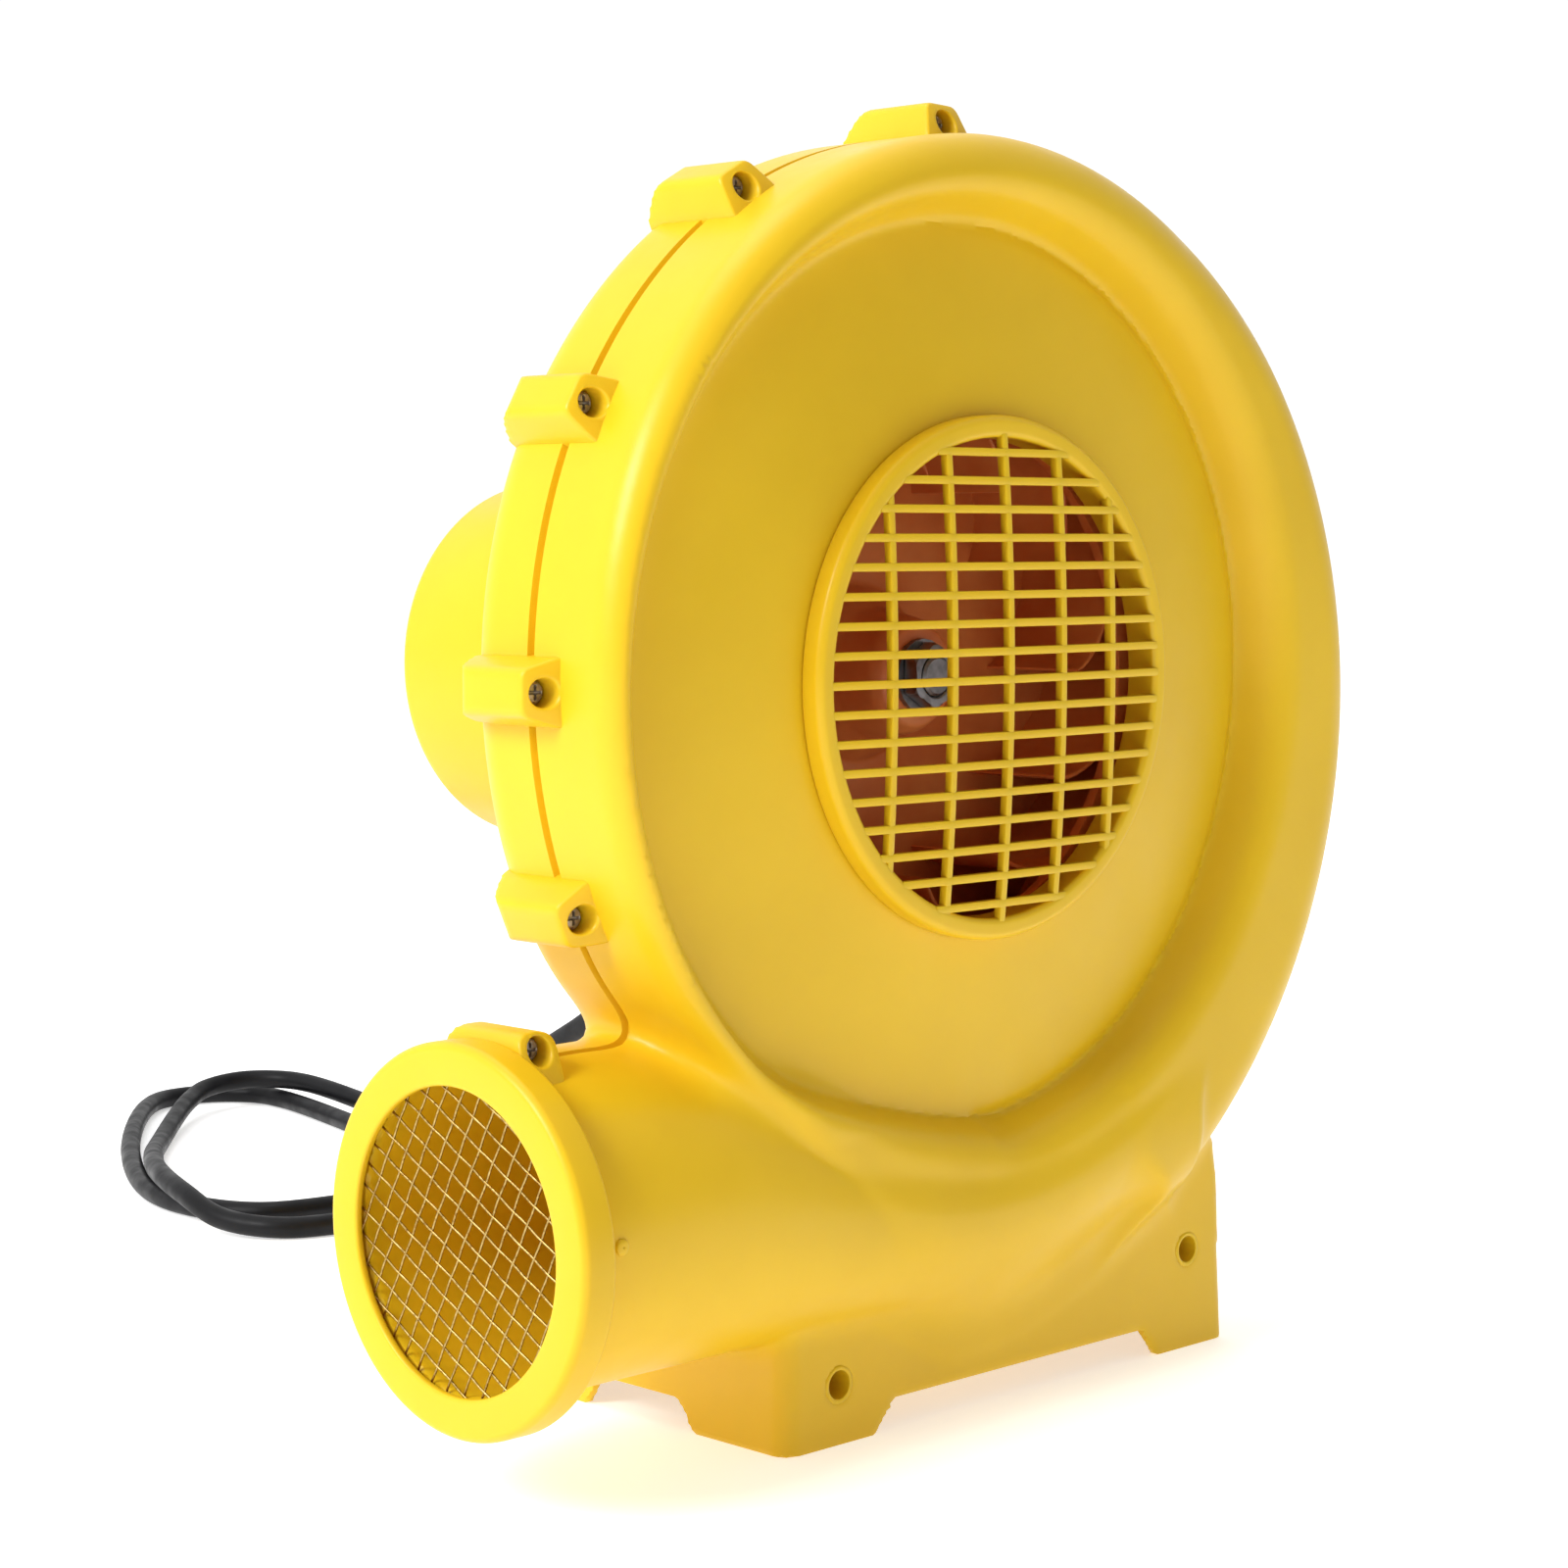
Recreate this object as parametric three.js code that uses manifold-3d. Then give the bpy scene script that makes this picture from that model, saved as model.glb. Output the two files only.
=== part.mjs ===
// Centrifugal blower with a scroll casing, a round outlet duct, a skirted base and a motor behind.
// The shells, grille and covers are built around the fan axis: X right, Y back, Z up, with the
// origin on the axis at the front plane of the intake ring. Lengths are millimetres.
import * as THREE from "three";
import { mergeVertices } from "three/addons/utils/BufferGeometryUtils.js";
import Module from "manifold-3d";

const wasm = await Module();
wasm.setup();

// ---- Driving dimensions -------------------------------------------------------------------
const FAN = { x: -11.4, y: -100.8, z: 222 }; // fan axis in the part's own frame, floor at z = 0
const GAP = 0.3; // between pieces that touch
const WALL = 3;

const SCROLL_RADII = [147, 150, 154, 158.5, 165, 174.5, 183, 188.5, 193, 197]; // each 30 deg
const SCROLL = { tongue: 224, front: 3.5, back: 69, round: 12, steps: 34 };
const PARTING = 39.3; // plane where the front and rear shells meet
const PANEL = { edge: 134.5, flank: 141.5, edgeY: 18, ringY: 7.5, ringR: 76 };
const INTAKE = { bore: 73.5, collar: 73.2, inner: 70, outer: 76.5 };
const LATTICE = { bars: 5, barPitch: 23.9, bar: 2.6, slats: 17, slatPitch: 8.2, slat: 2.4 };
const LATTICE_Y = [-3.4, 0.8];
const COLLAR_END = 11; // how far the grille's collar reaches through the panel

const DUCT = { y: 45, z: -147, r: 45.5, bore: 42, end: -166.9 };
const DUCT_STATIONS = [ // x, y, z, half depth, half height: the duct flattens into the scroll
  [DUCT.end, DUCT.y, DUCT.z, DUCT.r, DUCT.r],
  [-100, DUCT.y, DUCT.z, DUCT.r, DUCT.r],
  [-45, 43, -150, 41, 43],
  [20, 38, -158, 34, 36],
  [80, 36, -148, 31, 26],
];
const OUTLET = { face: -171, lip: -168.6, back: -159.5, outer: 54, socket: 45.8 };
const SCREEN = { front: -168.3, wire: 0.8, pitch: 12.7, radius: 44.8, turn: 28, half: 3 };

const BASE = { left: -70, right: 134, front: 20, back: 145, bottom: -222, top: -165, round: 8 };
const RECESS = { height: 9.5, left: -32, right: 99, front: 59, back: 106, slope: 8 };
const SHOULDER = [[60, -190], [134, -167], [130, -156], [116, -149], [60, -152]];

const LUG_ANGLES = [204, 180, 150, 119, 88, 57, 26, -5, -36];
const LUG = { front: 28.8, back: 60, in: 10, out: 6, surface: 4, halfBase: 9.4, halfTop: 5.8 };
const DUCT_LUG = { x: -153.5, z: -95.5 };
const BASE_SCREWS = [{ x: -48, z: -204, side: -69 }, { x: 114, z: -189.5, side: 133 }];
const HOLE = { bore: 4.3, seat: 34.2, shank: 2.4, end: 52 };
const SCREW = { head: 3.8, headLength: 2.4, shank: 2, length: 15.5 };

const IMPELLER = { eye: 60, r: 106, front: 22.3, back: 60, blades: 11, sweep: 52, plate: 2.4 };
const SHAFT = { r: 6, front: 26, back: 172, hole: 6.3 };
const MOTOR = { r: 46, front: 69.3, core: 84, coreBack: 134, back: 156, rotor: 26 };
const BEARINGS = [72, 146];
const COVER = { r: 59, inner: 56.5, front: 69.3, back: 209, screwY: 78, vents: 10 };
const COVER_SCREWS = [90, 210, 330];
const MOTOR_BOLTS = [45, 135, 225, 315];

const CORD = { r: 4.1, sides: 8, steps: 72 };
const GLAND = { y: 161, top: -51, flange: -59.4, end: -79, r: 9, tip: 5.4 };
// The cord's route: x and y as above, z above the floor. It drops from the motor cover behind
// the casing, lies on the floor in two loose turns and ends in its plug.
const CORD_ROUTE = [
  [0, 161, 142.7], [0, 161.4, 132], [0, 165.2, 119.5], [0.5, 173.5, 109], [2, 186.5, 100.5],
  [7, 215, 86.5], [22, 254, 65], [48, 292, 42.5], [78, 327, 27], [104, 366, 17.5], [123, 408, 11],
  [137, 458, 5.4], [167.3, 589.3, 4.3], [164.9, 609.6, 4.3], [150.3, 624, 4.3], [130, 626.2, 4.3],
  [112.7, 615.3, 4.3], [44, 526, 4.3], [4, 448, 4.3], [1.5, 412, 4.3], [12, 389, 4.3],
  [35, 380, 4.3], [110, 381, 4.3], [145, 402, 4.3], [167, 447, 4.3], [174, 510, 6],
  [172, 573, 12.6], [166.7, 590, 13.3], [152.8, 601, 13.2], [135.2, 602.2, 11.5], [119.7, 593, 9],
  [62, 532, 4.6], [30, 488, 9.5], [3, 443, 13.3], [-10, 408, 12.4], [-10.5, 382, 6.4],
  [0, 362, 4.4], [21, 352, 4.3], [90, 351, 5.2], [112, 351, 9.5],
];
const PLUG = { length: 42, width: 26, height: 19, blade: [6.4, 17, 1.5], spacing: 12.7 };

// ---- Materials ----------------------------------------------------------------------------
const material = (color, roughness, metalness = 0) =>
  new THREE.MeshStandardMaterial({ color, roughness, metalness });
const YELLOW = material(0xf3d03a, 0.35);
const RUBBER = material(0x18181a, 0.6);
const ZINC = material(0x8f8a80, 0.4, 0.9);
const STEEL = material(0xa8a8aa, 0.35, 0.9);
const CASTING = material(0x9a9c9e, 0.5, 0.8);
const LAMINATION = material(0x5a5d62, 0.5, 0.8);
const COPPER = material(0xb06a34, 0.4, 0.8);
const BRASS = material(0xc9a24a, 0.35, 0.9);
const DARK_PLASTIC = material(0x2a2a2c, 0.5);
const FAN_PLASTIC = material(0xc78a3c, 0.45);
const CAN = material(0xd8d8d4, 0.4);

// ---- Geometry helpers ---------------------------------------------------------------------
const radians = THREE.MathUtils.degToRad;

/** A closed geometry as a manifold solid, turned right side out. */
function solid(geometry) {
  const plain = new THREE.BufferGeometry();
  const source = geometry.index ? geometry.toNonIndexed() : geometry;
  plain.setAttribute("position", source.attributes.position);
  const merged = mergeVertices(plain, 1e-3);
  const triVerts = new Uint32Array(merged.index.array);
  const make = () => new wasm.Manifold(
    new wasm.Mesh({ numProp: 3, vertProperties: merged.attributes.position.array, triVerts }),
  );
  const made = make();
  if (made.volume() > 0) return made;
  for (let i = 0; i < triVerts.length; i += 3)
    [triVerts[i + 1], triVerts[i + 2]] = [triVerts[i + 2], triVerts[i + 1]];
  return make();
}

/** A manifold solid as a geometry. */
function geometryOf(made) {
  const mesh = made.getMesh();
  const geometry = new THREE.BufferGeometry();
  geometry.setAttribute("position", new THREE.BufferAttribute(mesh.vertProperties, 3));
  geometry.setIndex(new THREE.BufferAttribute(mesh.triVerts, 1));
  const flat = geometry.toNonIndexed();
  flat.computeVertexNormals();
  return flat;
}

const joined = (...solids) => solids.flat().reduce((a, b) => a.add(b));

function shapeOf(points) {
  return new THREE.Shape(points.map(([x, y]) => new THREE.Vector2(x, y)));
}

/** A front-view outline (x, z) made solid from y0 to y1, with both ends rounded if asked. */
function slab(shape, y0, y1, round = 0) {
  const geometry = new THREE.ExtrudeGeometry(shape, {
    depth: y1 - y0 - 2 * round,
    bevelEnabled: round > 0,
    bevelThickness: round,
    bevelSize: round,
    bevelOffset: -round,
    bevelSegments: 2,
    curveSegments: 8,
  });
  return solid(geometry.rotateX(Math.PI / 2).translate(0, y1 - round, 0));
}

/** A plan-view outline (x, y) made solid from z0 to z1. */
function block(shape, z0, z1) {
  const options = { depth: z1 - z0, bevelEnabled: false, curveSegments: 4 };
  return solid(new THREE.ExtrudeGeometry(shape, options).translate(0, 0, z0));
}

/** A profile of (radius, y) turned about the fan axis. */
function turned(profile, segments = 24) {
  const points = profile.map(([r, y]) => new THREE.Vector2(r, y));
  return solid(new THREE.LatheGeometry(points, segments));
}

/** A ring or disc about the fan axis. */
function disc(r, y0, y1, hole = 0, segments = 24) {
  return turned([[hole, y0], [r, y0], [r, y1], [hole, y1], [hole, y0]], segments);
}

/** A cylinder along Y through (x, z). */
function rod(r, x, z, y0, y1, segments = 10) {
  const geometry = new THREE.CylinderGeometry(r, r, y1 - y0, segments);
  return solid(geometry.translate(x, (y0 + y1) / 2, z));
}

function box(x0, x1, y0, y1, z0, z1) {
  const geometry = new THREE.BoxGeometry(x1 - x0, y1 - y0, z1 - z0);
  return solid(geometry.translate((x0 + x1) / 2, (y0 + y1) / 2, (z0 + z1) / 2));
}

function roundedRectangle(x0, x1, y0, y1, r) {
  const shape = new THREE.Shape();
  shape.moveTo(x0 + r, y0).lineTo(x1 - r, y0).absarc(x1 - r, y0 + r, r, -Math.PI / 2, 0);
  shape.lineTo(x1, y1 - r).absarc(x1 - r, y1 - r, r, 0, Math.PI / 2);
  shape.lineTo(x0 + r, y1).absarc(x0 + r, y1 - r, r, Math.PI / 2, Math.PI);
  shape.lineTo(x0, y0 + r).absarc(x0 + r, y0 + r, r, Math.PI, 1.5 * Math.PI);
  return shape;
}

/** Everything in front of (side -1) or behind (side 1) the parting plane. */
function half(side) {
  const reach = 400;
  const near = PARTING + (side * GAP) / 2;
  return side < 0 ? box(-reach, reach, -reach, near, -reach, reach)
    : box(-reach, reach, near, reach, -reach, reach);
}

// ---- Casing -------------------------------------------------------------------------------

/** Radius of the scroll wall at an angle counted anticlockwise from +X, seen from the front. */
function scrollRadius(degrees) {
  const turns = Math.min(Math.max((180 - degrees) / 30, 0), SCROLL_RADII.length - 1);
  const i = Math.min(Math.floor(turns), SCROLL_RADII.length - 2);
  const at = (k) => SCROLL_RADII[Math.min(Math.max(k, 0), SCROLL_RADII.length - 1)];
  const t = turns - i;
  const slope0 = (at(i + 1) - at(i - 1)) / 2;
  const slope1 = (at(i + 2) - at(i)) / 2;
  const rise = at(i + 1) - at(i);
  return at(i) + t * (slope0 + t * (3 * rise - 2 * slope0 - slope1
    + t * (slope0 + slope1 - 2 * rise)));
}

function scrollShape(inset) {
  const points = [];
  for (let i = 0; i <= SCROLL.steps; i++) {
    const degrees = SCROLL.tongue - ((SCROLL.tongue + 90) * i) / SCROLL.steps;
    const r = scrollRadius(degrees) - inset;
    points.push([r * Math.cos(radians(degrees)), r * Math.sin(radians(degrees))]);
  }
  points.push([-40, -194 + inset]);
  return shapeOf(points);
}

/** The duct's tube along X: round at the outlet, flattened where it runs into the scroll. */
function ductLoft(inset, start) {
  const sides = 20;
  const ends = { 0: start, [DUCT_STATIONS.length - 1]: DUCT_STATIONS.at(-1)[0] - inset };
  const stations = DUCT_STATIONS.map((s, i) => [ends[i] ?? s[0], ...s.slice(1)]);
  const geometry = new THREE.CylinderGeometry(1, 1, 1, sides, stations.length - 1);
  const p = geometry.attributes.position;
  for (let i = 0; i < p.count; i++) {
    const ring = Math.round((0.5 - p.getY(i)) * (stations.length - 1));
    const [x, y, z, depth, height] = stations[ring];
    p.setXYZ(i, x, y + p.getX(i) * (depth - inset), z + p.getZ(i) * (height - inset));
  }
  return solid(geometry);
}

function baseSolid(inset, z0, z1) {
  const { left, right, front, back, round } = BASE;
  const plan = roundedRectangle(left + inset, right - inset, front + inset, back - inset,
    round - inset);
  return block(plan, z0, z1);
}

/** The shallow cut-outs that leave four feet under the skirt. */
function footRecesses() {
  const { height, left, right, front, back, slope } = RECESS;
  const floor = BASE.bottom;
  const under = floor - 5;
  const across = shapeOf([[left, under], [right, under], [right, floor],
    [right - slope, floor + height], [left + slope, floor + height], [left, floor]]);
  const along = shapeOf([[front, under], [back, under], [back, floor],
    [back - slope, floor + height], [front + slope, floor + height], [front, floor]]);
  const options = { depth: BASE.right - BASE.left + 20, bevelEnabled: false };
  const sideCut = new THREE.ExtrudeGeometry(along, options);
  sideCut.applyMatrix4(new THREE.Matrix4().makeBasis(
    new THREE.Vector3(0, 1, 0), new THREE.Vector3(0, 0, 1), new THREE.Vector3(1, 0, 0)));
  return joined(slab(across, 0, BASE.back + 10),
    solid(sideCut.translate(BASE.left - 10, 0, 0)));
}

/** Centres of the screws, with the direction in which each lug stands out. */
function lugPlaces() {
  const onScroll = LUG_ANGLES.map((degrees) => {
    const r = scrollRadius(degrees) + LUG.surface;
    const angle = radians(degrees);
    return { x: r * Math.cos(angle), z: r * Math.sin(angle), angle };
  });
  return [...onScroll, { ...DUCT_LUG, angle: Math.PI / 2 }];
}

function lugSolid({ x, z, angle }) {
  const outline = [[-LUG.in, LUG.halfBase], [-LUG.surface, LUG.halfBase],
    [LUG.out, LUG.halfTop], [LUG.out, -LUG.halfTop], [-LUG.surface, -LUG.halfBase],
    [-LUG.in, -LUG.halfBase]];
  const turnedOutline = outline.map(([out, side]) => [
    x + out * Math.cos(angle) - side * Math.sin(angle),
    z + out * Math.sin(angle) + side * Math.cos(angle),
  ]);
  return slab(shapeOf(turnedOutline), LUG.front, LUG.back);
}

/** Screw columns inside the base, each held to the nearer side wall by a web. */
function baseColumns() {
  return BASE_SCREWS.map(({ x, z, side }) => joined(
    rod(7.5, x, z, BASE.front + 1, HOLE.end + 4),
    box(Math.min(x, side), Math.max(x, side), BASE.front + 1, HOLE.end + 4, z - 2, z + 2)));
}

/** Counterbore, screw hole and blind hole in line. */
function screwHole({ x, z }, front) {
  return joined(rod(HOLE.bore, x, z, front, HOLE.seat),
    rod(HOLE.shank, x, z, HOLE.seat - 1, HOLE.end, 8));
}

function shells() {
  const { flank, edge, edgeY, ringR, ringY } = PANEL;
  const recess = turned([[0, -20], [flank, -20], [flank, SCROLL.front], [edge, edgeY],
    [ringR, ringY], [0, ringY]], 36);
  const panel = turned([[0, -20], [flank + WALL, -20], [flank + WALL, SCROLL.front + WALL],
    [edge + WALL, edgeY + WALL], [ringR, ringY + WALL], [0, ringY + WALL]], 36);

  const scroll = slab(scrollShape(0), SCROLL.front, SCROLL.back, SCROLL.round);
  const air = slab(scrollShape(WALL), SCROLL.front + WALL, SCROLL.back - WALL,
    SCROLL.round - WALL);
  const duct = ductLoft(0, DUCT.end);
  const bore = ductLoft(DUCT.r - DUCT.bore, DUCT.end - 10);
  const base = joined(baseSolid(0, BASE.bottom, BASE.top),
    slab(shapeOf(SHOULDER), BASE.front, SCROLL.back - SCROLL.round));
  const hollow = baseSolid(WALL, BASE.bottom - 5, BASE.top - WALL)
    .subtract(joined(scroll, duct, baseColumns()));
  const places = lugPlaces();
  const collar = disc(COVER.inner - GAP, SCROLL.back - 1, COVER.screwY + 7, 49.5, 32);

  const dished = scroll.subtract(recess);
  const casing = joined(dished, duct, base, places.map(lugSolid), collar)
    .subtract(footRecesses())
    .subtract(joined(air.subtract(panel), bore))
    .subtract(hollow)
    .subtract(joined(places.map((p) => screwHole(p, LUG.front - 8))))
    .subtract(joined(BASE_SCREWS.map((p) => screwHole(p, BASE.front - 5))))
    .subtract(rod(INTAKE.bore, 0, 0, -5, PARTING - 10, 36))
    .subtract(rod(16, 0, 0, PARTING, SCROLL.back + 20, 20))
    .subtract(ringClearance())
    .subtract(joined(MOTOR_BOLTS.map((a) => rod(2.6, ...boltPlace(a), 60, 75, 8))))
    .subtract(joined(COVER_SCREWS.map((a) => radialScrew(a, 0.5))));
  return { front: casing.intersect(half(-1)), rear: casing.intersect(half(1)) };
}

// ---- Intake and outlet --------------------------------------------------------------------

function intakeGrille() {
  const { inner, outer, collar } = INTAKE;
  const back = PANEL.ringY - GAP;
  const ring = turned([[inner, 1.2], [inner + 1.2, 0], [outer - 1.2, 0], [outer, 1.2],
    [outer, back], [collar, back], [collar, COLLAR_END], [inner, COLLAR_END], [inner, 1.2]], 36);
  const chord = (d) => Math.sqrt((inner + 2) ** 2 - (Math.abs(d) + 1.3) ** 2);
  const strips = [];
  for (let i = 0; i < LATTICE.slats; i++) {
    const z = (i - (LATTICE.slats - 1) / 2) * LATTICE.slatPitch;
    const t = LATTICE.slat / 2;
    strips.push(box(-chord(z), chord(z), ...LATTICE_Y, z - t, z + t));
  }
  for (let i = 0; i < LATTICE.bars; i++) {
    const x = (i - (LATTICE.bars - 1) / 2) * LATTICE.barPitch;
    const t = LATTICE.bar / 2;
    strips.push(box(x - t, x + t, ...LATTICE_Y, -chord(x), chord(x)));
  }
  return joined(ring, strips);
}

/** Turns a solid made about the fan axis into one about the duct's axis, facing -X. */
function aboutDuct(geometry) {
  return geometry.rotateZ(-Math.PI / 2).translate(0, DUCT.y, DUCT.z);
}

function outletRing() {
  const { face, lip, back, outer, socket } = OUTLET;
  const profile = [[DUCT.bore, face], [outer - 2, face], [outer, face + 2], [outer, back - 1],
    [outer - 1, back], [socket, back], [socket, lip], [DUCT.bore, lip], [DUCT.bore, face]];
  const points = profile.map(([r, x]) => new THREE.Vector2(r, x));
  return solid(aboutDuct(new THREE.LatheGeometry(points, 32)));
}

/** Room for the outlet ring's sleeve, taken from the lug behind it. */
function ringClearance() {
  const { back, outer, socket } = OUTLET;
  const profile = [[socket - 0.2, -180], [outer + GAP, -180], [outer + GAP, back + GAP],
    [socket - 0.2, back + GAP], [socket - 0.2, -180]];
  const points = profile.map(([r, x]) => new THREE.Vector2(r, x));
  return solid(aboutDuct(new THREE.LatheGeometry(points, 32)));
}

function outletScreen() {
  const { front, wire, pitch, radius, turn, half: count } = SCREEN;
  const wires = [];
  for (const angle of [turn, turn + 90])
    for (let i = -count; i <= count; i++) {
      const length = 2 * Math.sqrt(radius ** 2 - (i * pitch) ** 2);
      const strip = new THREE.BoxGeometry(wire, wire, length);
      strip.translate(front + wire / 2, i * pitch, 0).rotateX(radians(angle));
      wires.push(solid(strip.translate(0, DUCT.y, DUCT.z)));
    }
  return joined(wires);
}

// ---- Fasteners ----------------------------------------------------------------------------

/** A screw along +Y with the back of its head at y = 0. */
function screw() {
  const { head, headLength, shank, length } = SCREW;
  return turned([[0, -headLength], [head * 0.7, -headLength], [head, -headLength * 0.6],
    [head, 0], [shank, 0], [shank, length - 2], [0, length]], 8);
}

const boltPlace = (degrees) => [38 * Math.cos(radians(degrees)), 38 * Math.sin(radians(degrees))];

/** A screw pointing at the fan axis through the motor cover, grown by clearance for its hole. */
function radialScrew(degrees, clearance = 0) {
  const { head, shank } = SCREW;
  const geometry = new THREE.LatheGeometry([[0, 48], [shank + clearance, 50],
    [shank + clearance, COVER.r + GAP], [head, COVER.r + GAP], [head, COVER.r + 1.8],
    [0, COVER.r + 2.4]].map(([r, y]) => new THREE.Vector2(r, y)), 8);
  geometry.rotateZ(radians(degrees) - Math.PI / 2);
  return solid(geometry.rotateX(Math.PI / 2).translate(0, COVER.screwY, 0));
}

function motorBolt(degrees) {
  const [x, z] = boltPlace(degrees);
  return joined(rod(3.4, x, z, 63.8, 65.7, 8), rod(2.1, x, z, 65, 75.5, 8));
}

// ---- Fan and motor ------------------------------------------------------------------------

/** One blade: a curved wall from the eye to the rim, swept back against the rotation. */
function blade(start) {
  const steps = 6;
  const line = [];
  for (let i = 0; i <= steps; i++) {
    const t = i / steps;
    const r = IMPELLER.eye + (IMPELLER.r - 2 - IMPELLER.eye) * t;
    line.push([r, radians(start + IMPELLER.sweep * t ** 1.4)]);
  }
  const thickness = 2;
  const side = (offset) => line.map(([r, a]) => {
    const shifted = a + offset / r;
    return [r * Math.cos(shifted), r * Math.sin(shifted)];
  });
  const outline = [...side(-thickness / 2), ...side(thickness / 2).reverse()];
  return slab(shapeOf(outline), IMPELLER.front, IMPELLER.back + 1);
}

function impeller() {
  const { back, r, plate, blades } = IMPELLER;
  const disk = turned([[SHAFT.hole, 34], [16, 34], [20, 50], [26, back], [r, back],
    [r, back + plate], [SHAFT.hole, back + plate], [SHAFT.hole, 34]], 36);
  const all = Array.from({ length: blades }, (_, i) => blade((360 / blades) * i));
  return joined(disk, all);
}

function impellerShroud() {
  const { r, front } = IMPELLER;
  const inner = INTAKE.inner + 5;
  return turned([[inner, 18.4], [r, 20.2], [r, front - GAP], [inner, front - GAP],
    [inner, 18.4]], 36);
}

function shaft() {
  const { r, front, back } = SHAFT;
  return turned([[0, front], [r - 0.8, front], [r, front + 0.8], [r, back - 1], [r - 1, back],
    [0, back]]);
}

function rotorCore() {
  const cage = disc(MOTOR.rotor, MOTOR.core + 2, MOTOR.coreBack - 2, SHAFT.hole, 20);
  const ends = disc(MOTOR.rotor - 2, MOTOR.core - 2, MOTOR.coreBack + 2, 18, 20);
  return joined(cage, ends);
}

function coolingFan() {
  const hub = disc(11, 160, 171, SHAFT.hole);
  const vanes = Array.from({ length: 7 }, (_, i) => {
    const vane = new THREE.BoxGeometry(32, 1.6, 10);
    vane.rotateX(radians(38)).translate(26, 165.5, 0);
    return solid(vane.rotateY((2 * Math.PI * i) / 7));
  });
  return joined(hub, vanes);
}

/** A bell that closes one end of the motor and seats its bearing. */
function motorBell(side) {
  const { r, front, core, coreBack, back } = MOTOR;
  const [outer, inner] = side < 0 ? [front, core - GAP] : [back, coreBack + GAP];
  const skin = outer - side * WALL;
  const seat = side < 0 ? front + 12 : back - 12;
  return turned([[13.4, outer], [r - 3, outer], [r, outer - side * 3], [r, inner],
    [r - WALL, inner], [r - WALL, skin], [18, skin], [18, seat], [13.4, seat],
    [13.4, outer]], 20);
}

function statorCore() {
  return disc(MOTOR.r, MOTOR.core, MOTOR.coreBack, MOTOR.rotor + 0.6, 20);
}

function winding(side) {
  const near = side < 0 ? MOTOR.core - GAP : MOTOR.coreBack + GAP;
  const far = near + side * 7;
  return turned([[29, near], [41, near], [41.5, far - side * 2], [38, far], [31, far],
    [29, far - side * 2], [29, near]], 20);
}

function motorCover() {
  const { r, inner, front, back, vents, screwY } = COVER;
  const cup = turned([[r, front], [r, back - 4.5], [r - 1.3, back - 1.3], [r - 4.5, back], [0, back],
    [0, back - 2.5], [r - 6, back - 2.5], [inner, back - 6], [inner, front], [r, front]], 36);
  const slots = Array.from({ length: vents }, (_, i) => {
    const slot = new THREE.BoxGeometry(22, 12, 4.4);
    slot.translate(32, back, 0).rotateY((2 * Math.PI * i) / vents);
    return solid(slot);
  });
  const glandHole = new THREE.CylinderGeometry(6.3, 6.3, 12, 16);
  glandHole.rotateX(Math.PI / 2).translate(0, GLAND.y, -r);
  const screwHoles = COVER_SCREWS.map((a) => radialScrew(a, 0.5));
  return cup.subtract(joined(slots, solid(glandHole), screwHoles, rod(1, 0, 0, screwY, screwY + 1)));
}

// ---- Electrical parts ---------------------------------------------------------------------

function strainRelief() {
  const { y, top, flange, end, r, tip } = GLAND;
  const points = [[0, top], [6, top], [6, flange + GAP / 2], [r, flange], [r, flange - 3],
    [7, flange - 4.5], [tip, end], [0, end]].map(([a, b]) => new THREE.Vector2(a, b));
  const geometry = new THREE.LatheGeometry(points, 16);
  return solid(geometry.rotateX(Math.PI / 2).translate(0, y, 0));
}

const routeCurve = (points) =>
  new THREE.CatmullRomCurve3(points.map((p) => new THREE.Vector3(...p)));

/** A round tube along a route. */
function tube(points, r, sides, steps) {
  const section = new THREE.Shape();
  for (let i = 0; i < sides; i++) {
    const a = (2 * Math.PI * i) / sides;
    if (i === 0) section.moveTo(r, 0);
    else section.lineTo(r * Math.cos(a), r * Math.sin(a));
  }
  const options = { steps, extrudePath: routeCurve(points), bevelEnabled: false };
  return new THREE.ExtrudeGeometry(section, options);
}

function motorLead() {
  const level = -51.2;
  return tube([[0, GLAND.y - 6.6, level], [1, 142, level], [0, 124, level], [0, 100, level]],
    2.6, 8, 8);
}

function capacitor() {
  const geometry = new THREE.CylinderGeometry(13, 13, 50, 20);
  return solid(geometry.rotateZ(Math.PI / 2).translate(0, 186, -20));
}

function capacitorClip() {
  const outer = new THREE.CylinderGeometry(15, 15, 12, 20).rotateZ(Math.PI / 2);
  const inner = new THREE.CylinderGeometry(13.3, 13.3, 20, 20).rotateZ(Math.PI / 2);
  const band = solid(outer.translate(0, 186, -20)).subtract(solid(inner.translate(0, 186, -20)));
  return joined(band, box(-6, 6, 200.4, COVER.back - 2.8, -34, -6));
}

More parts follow.
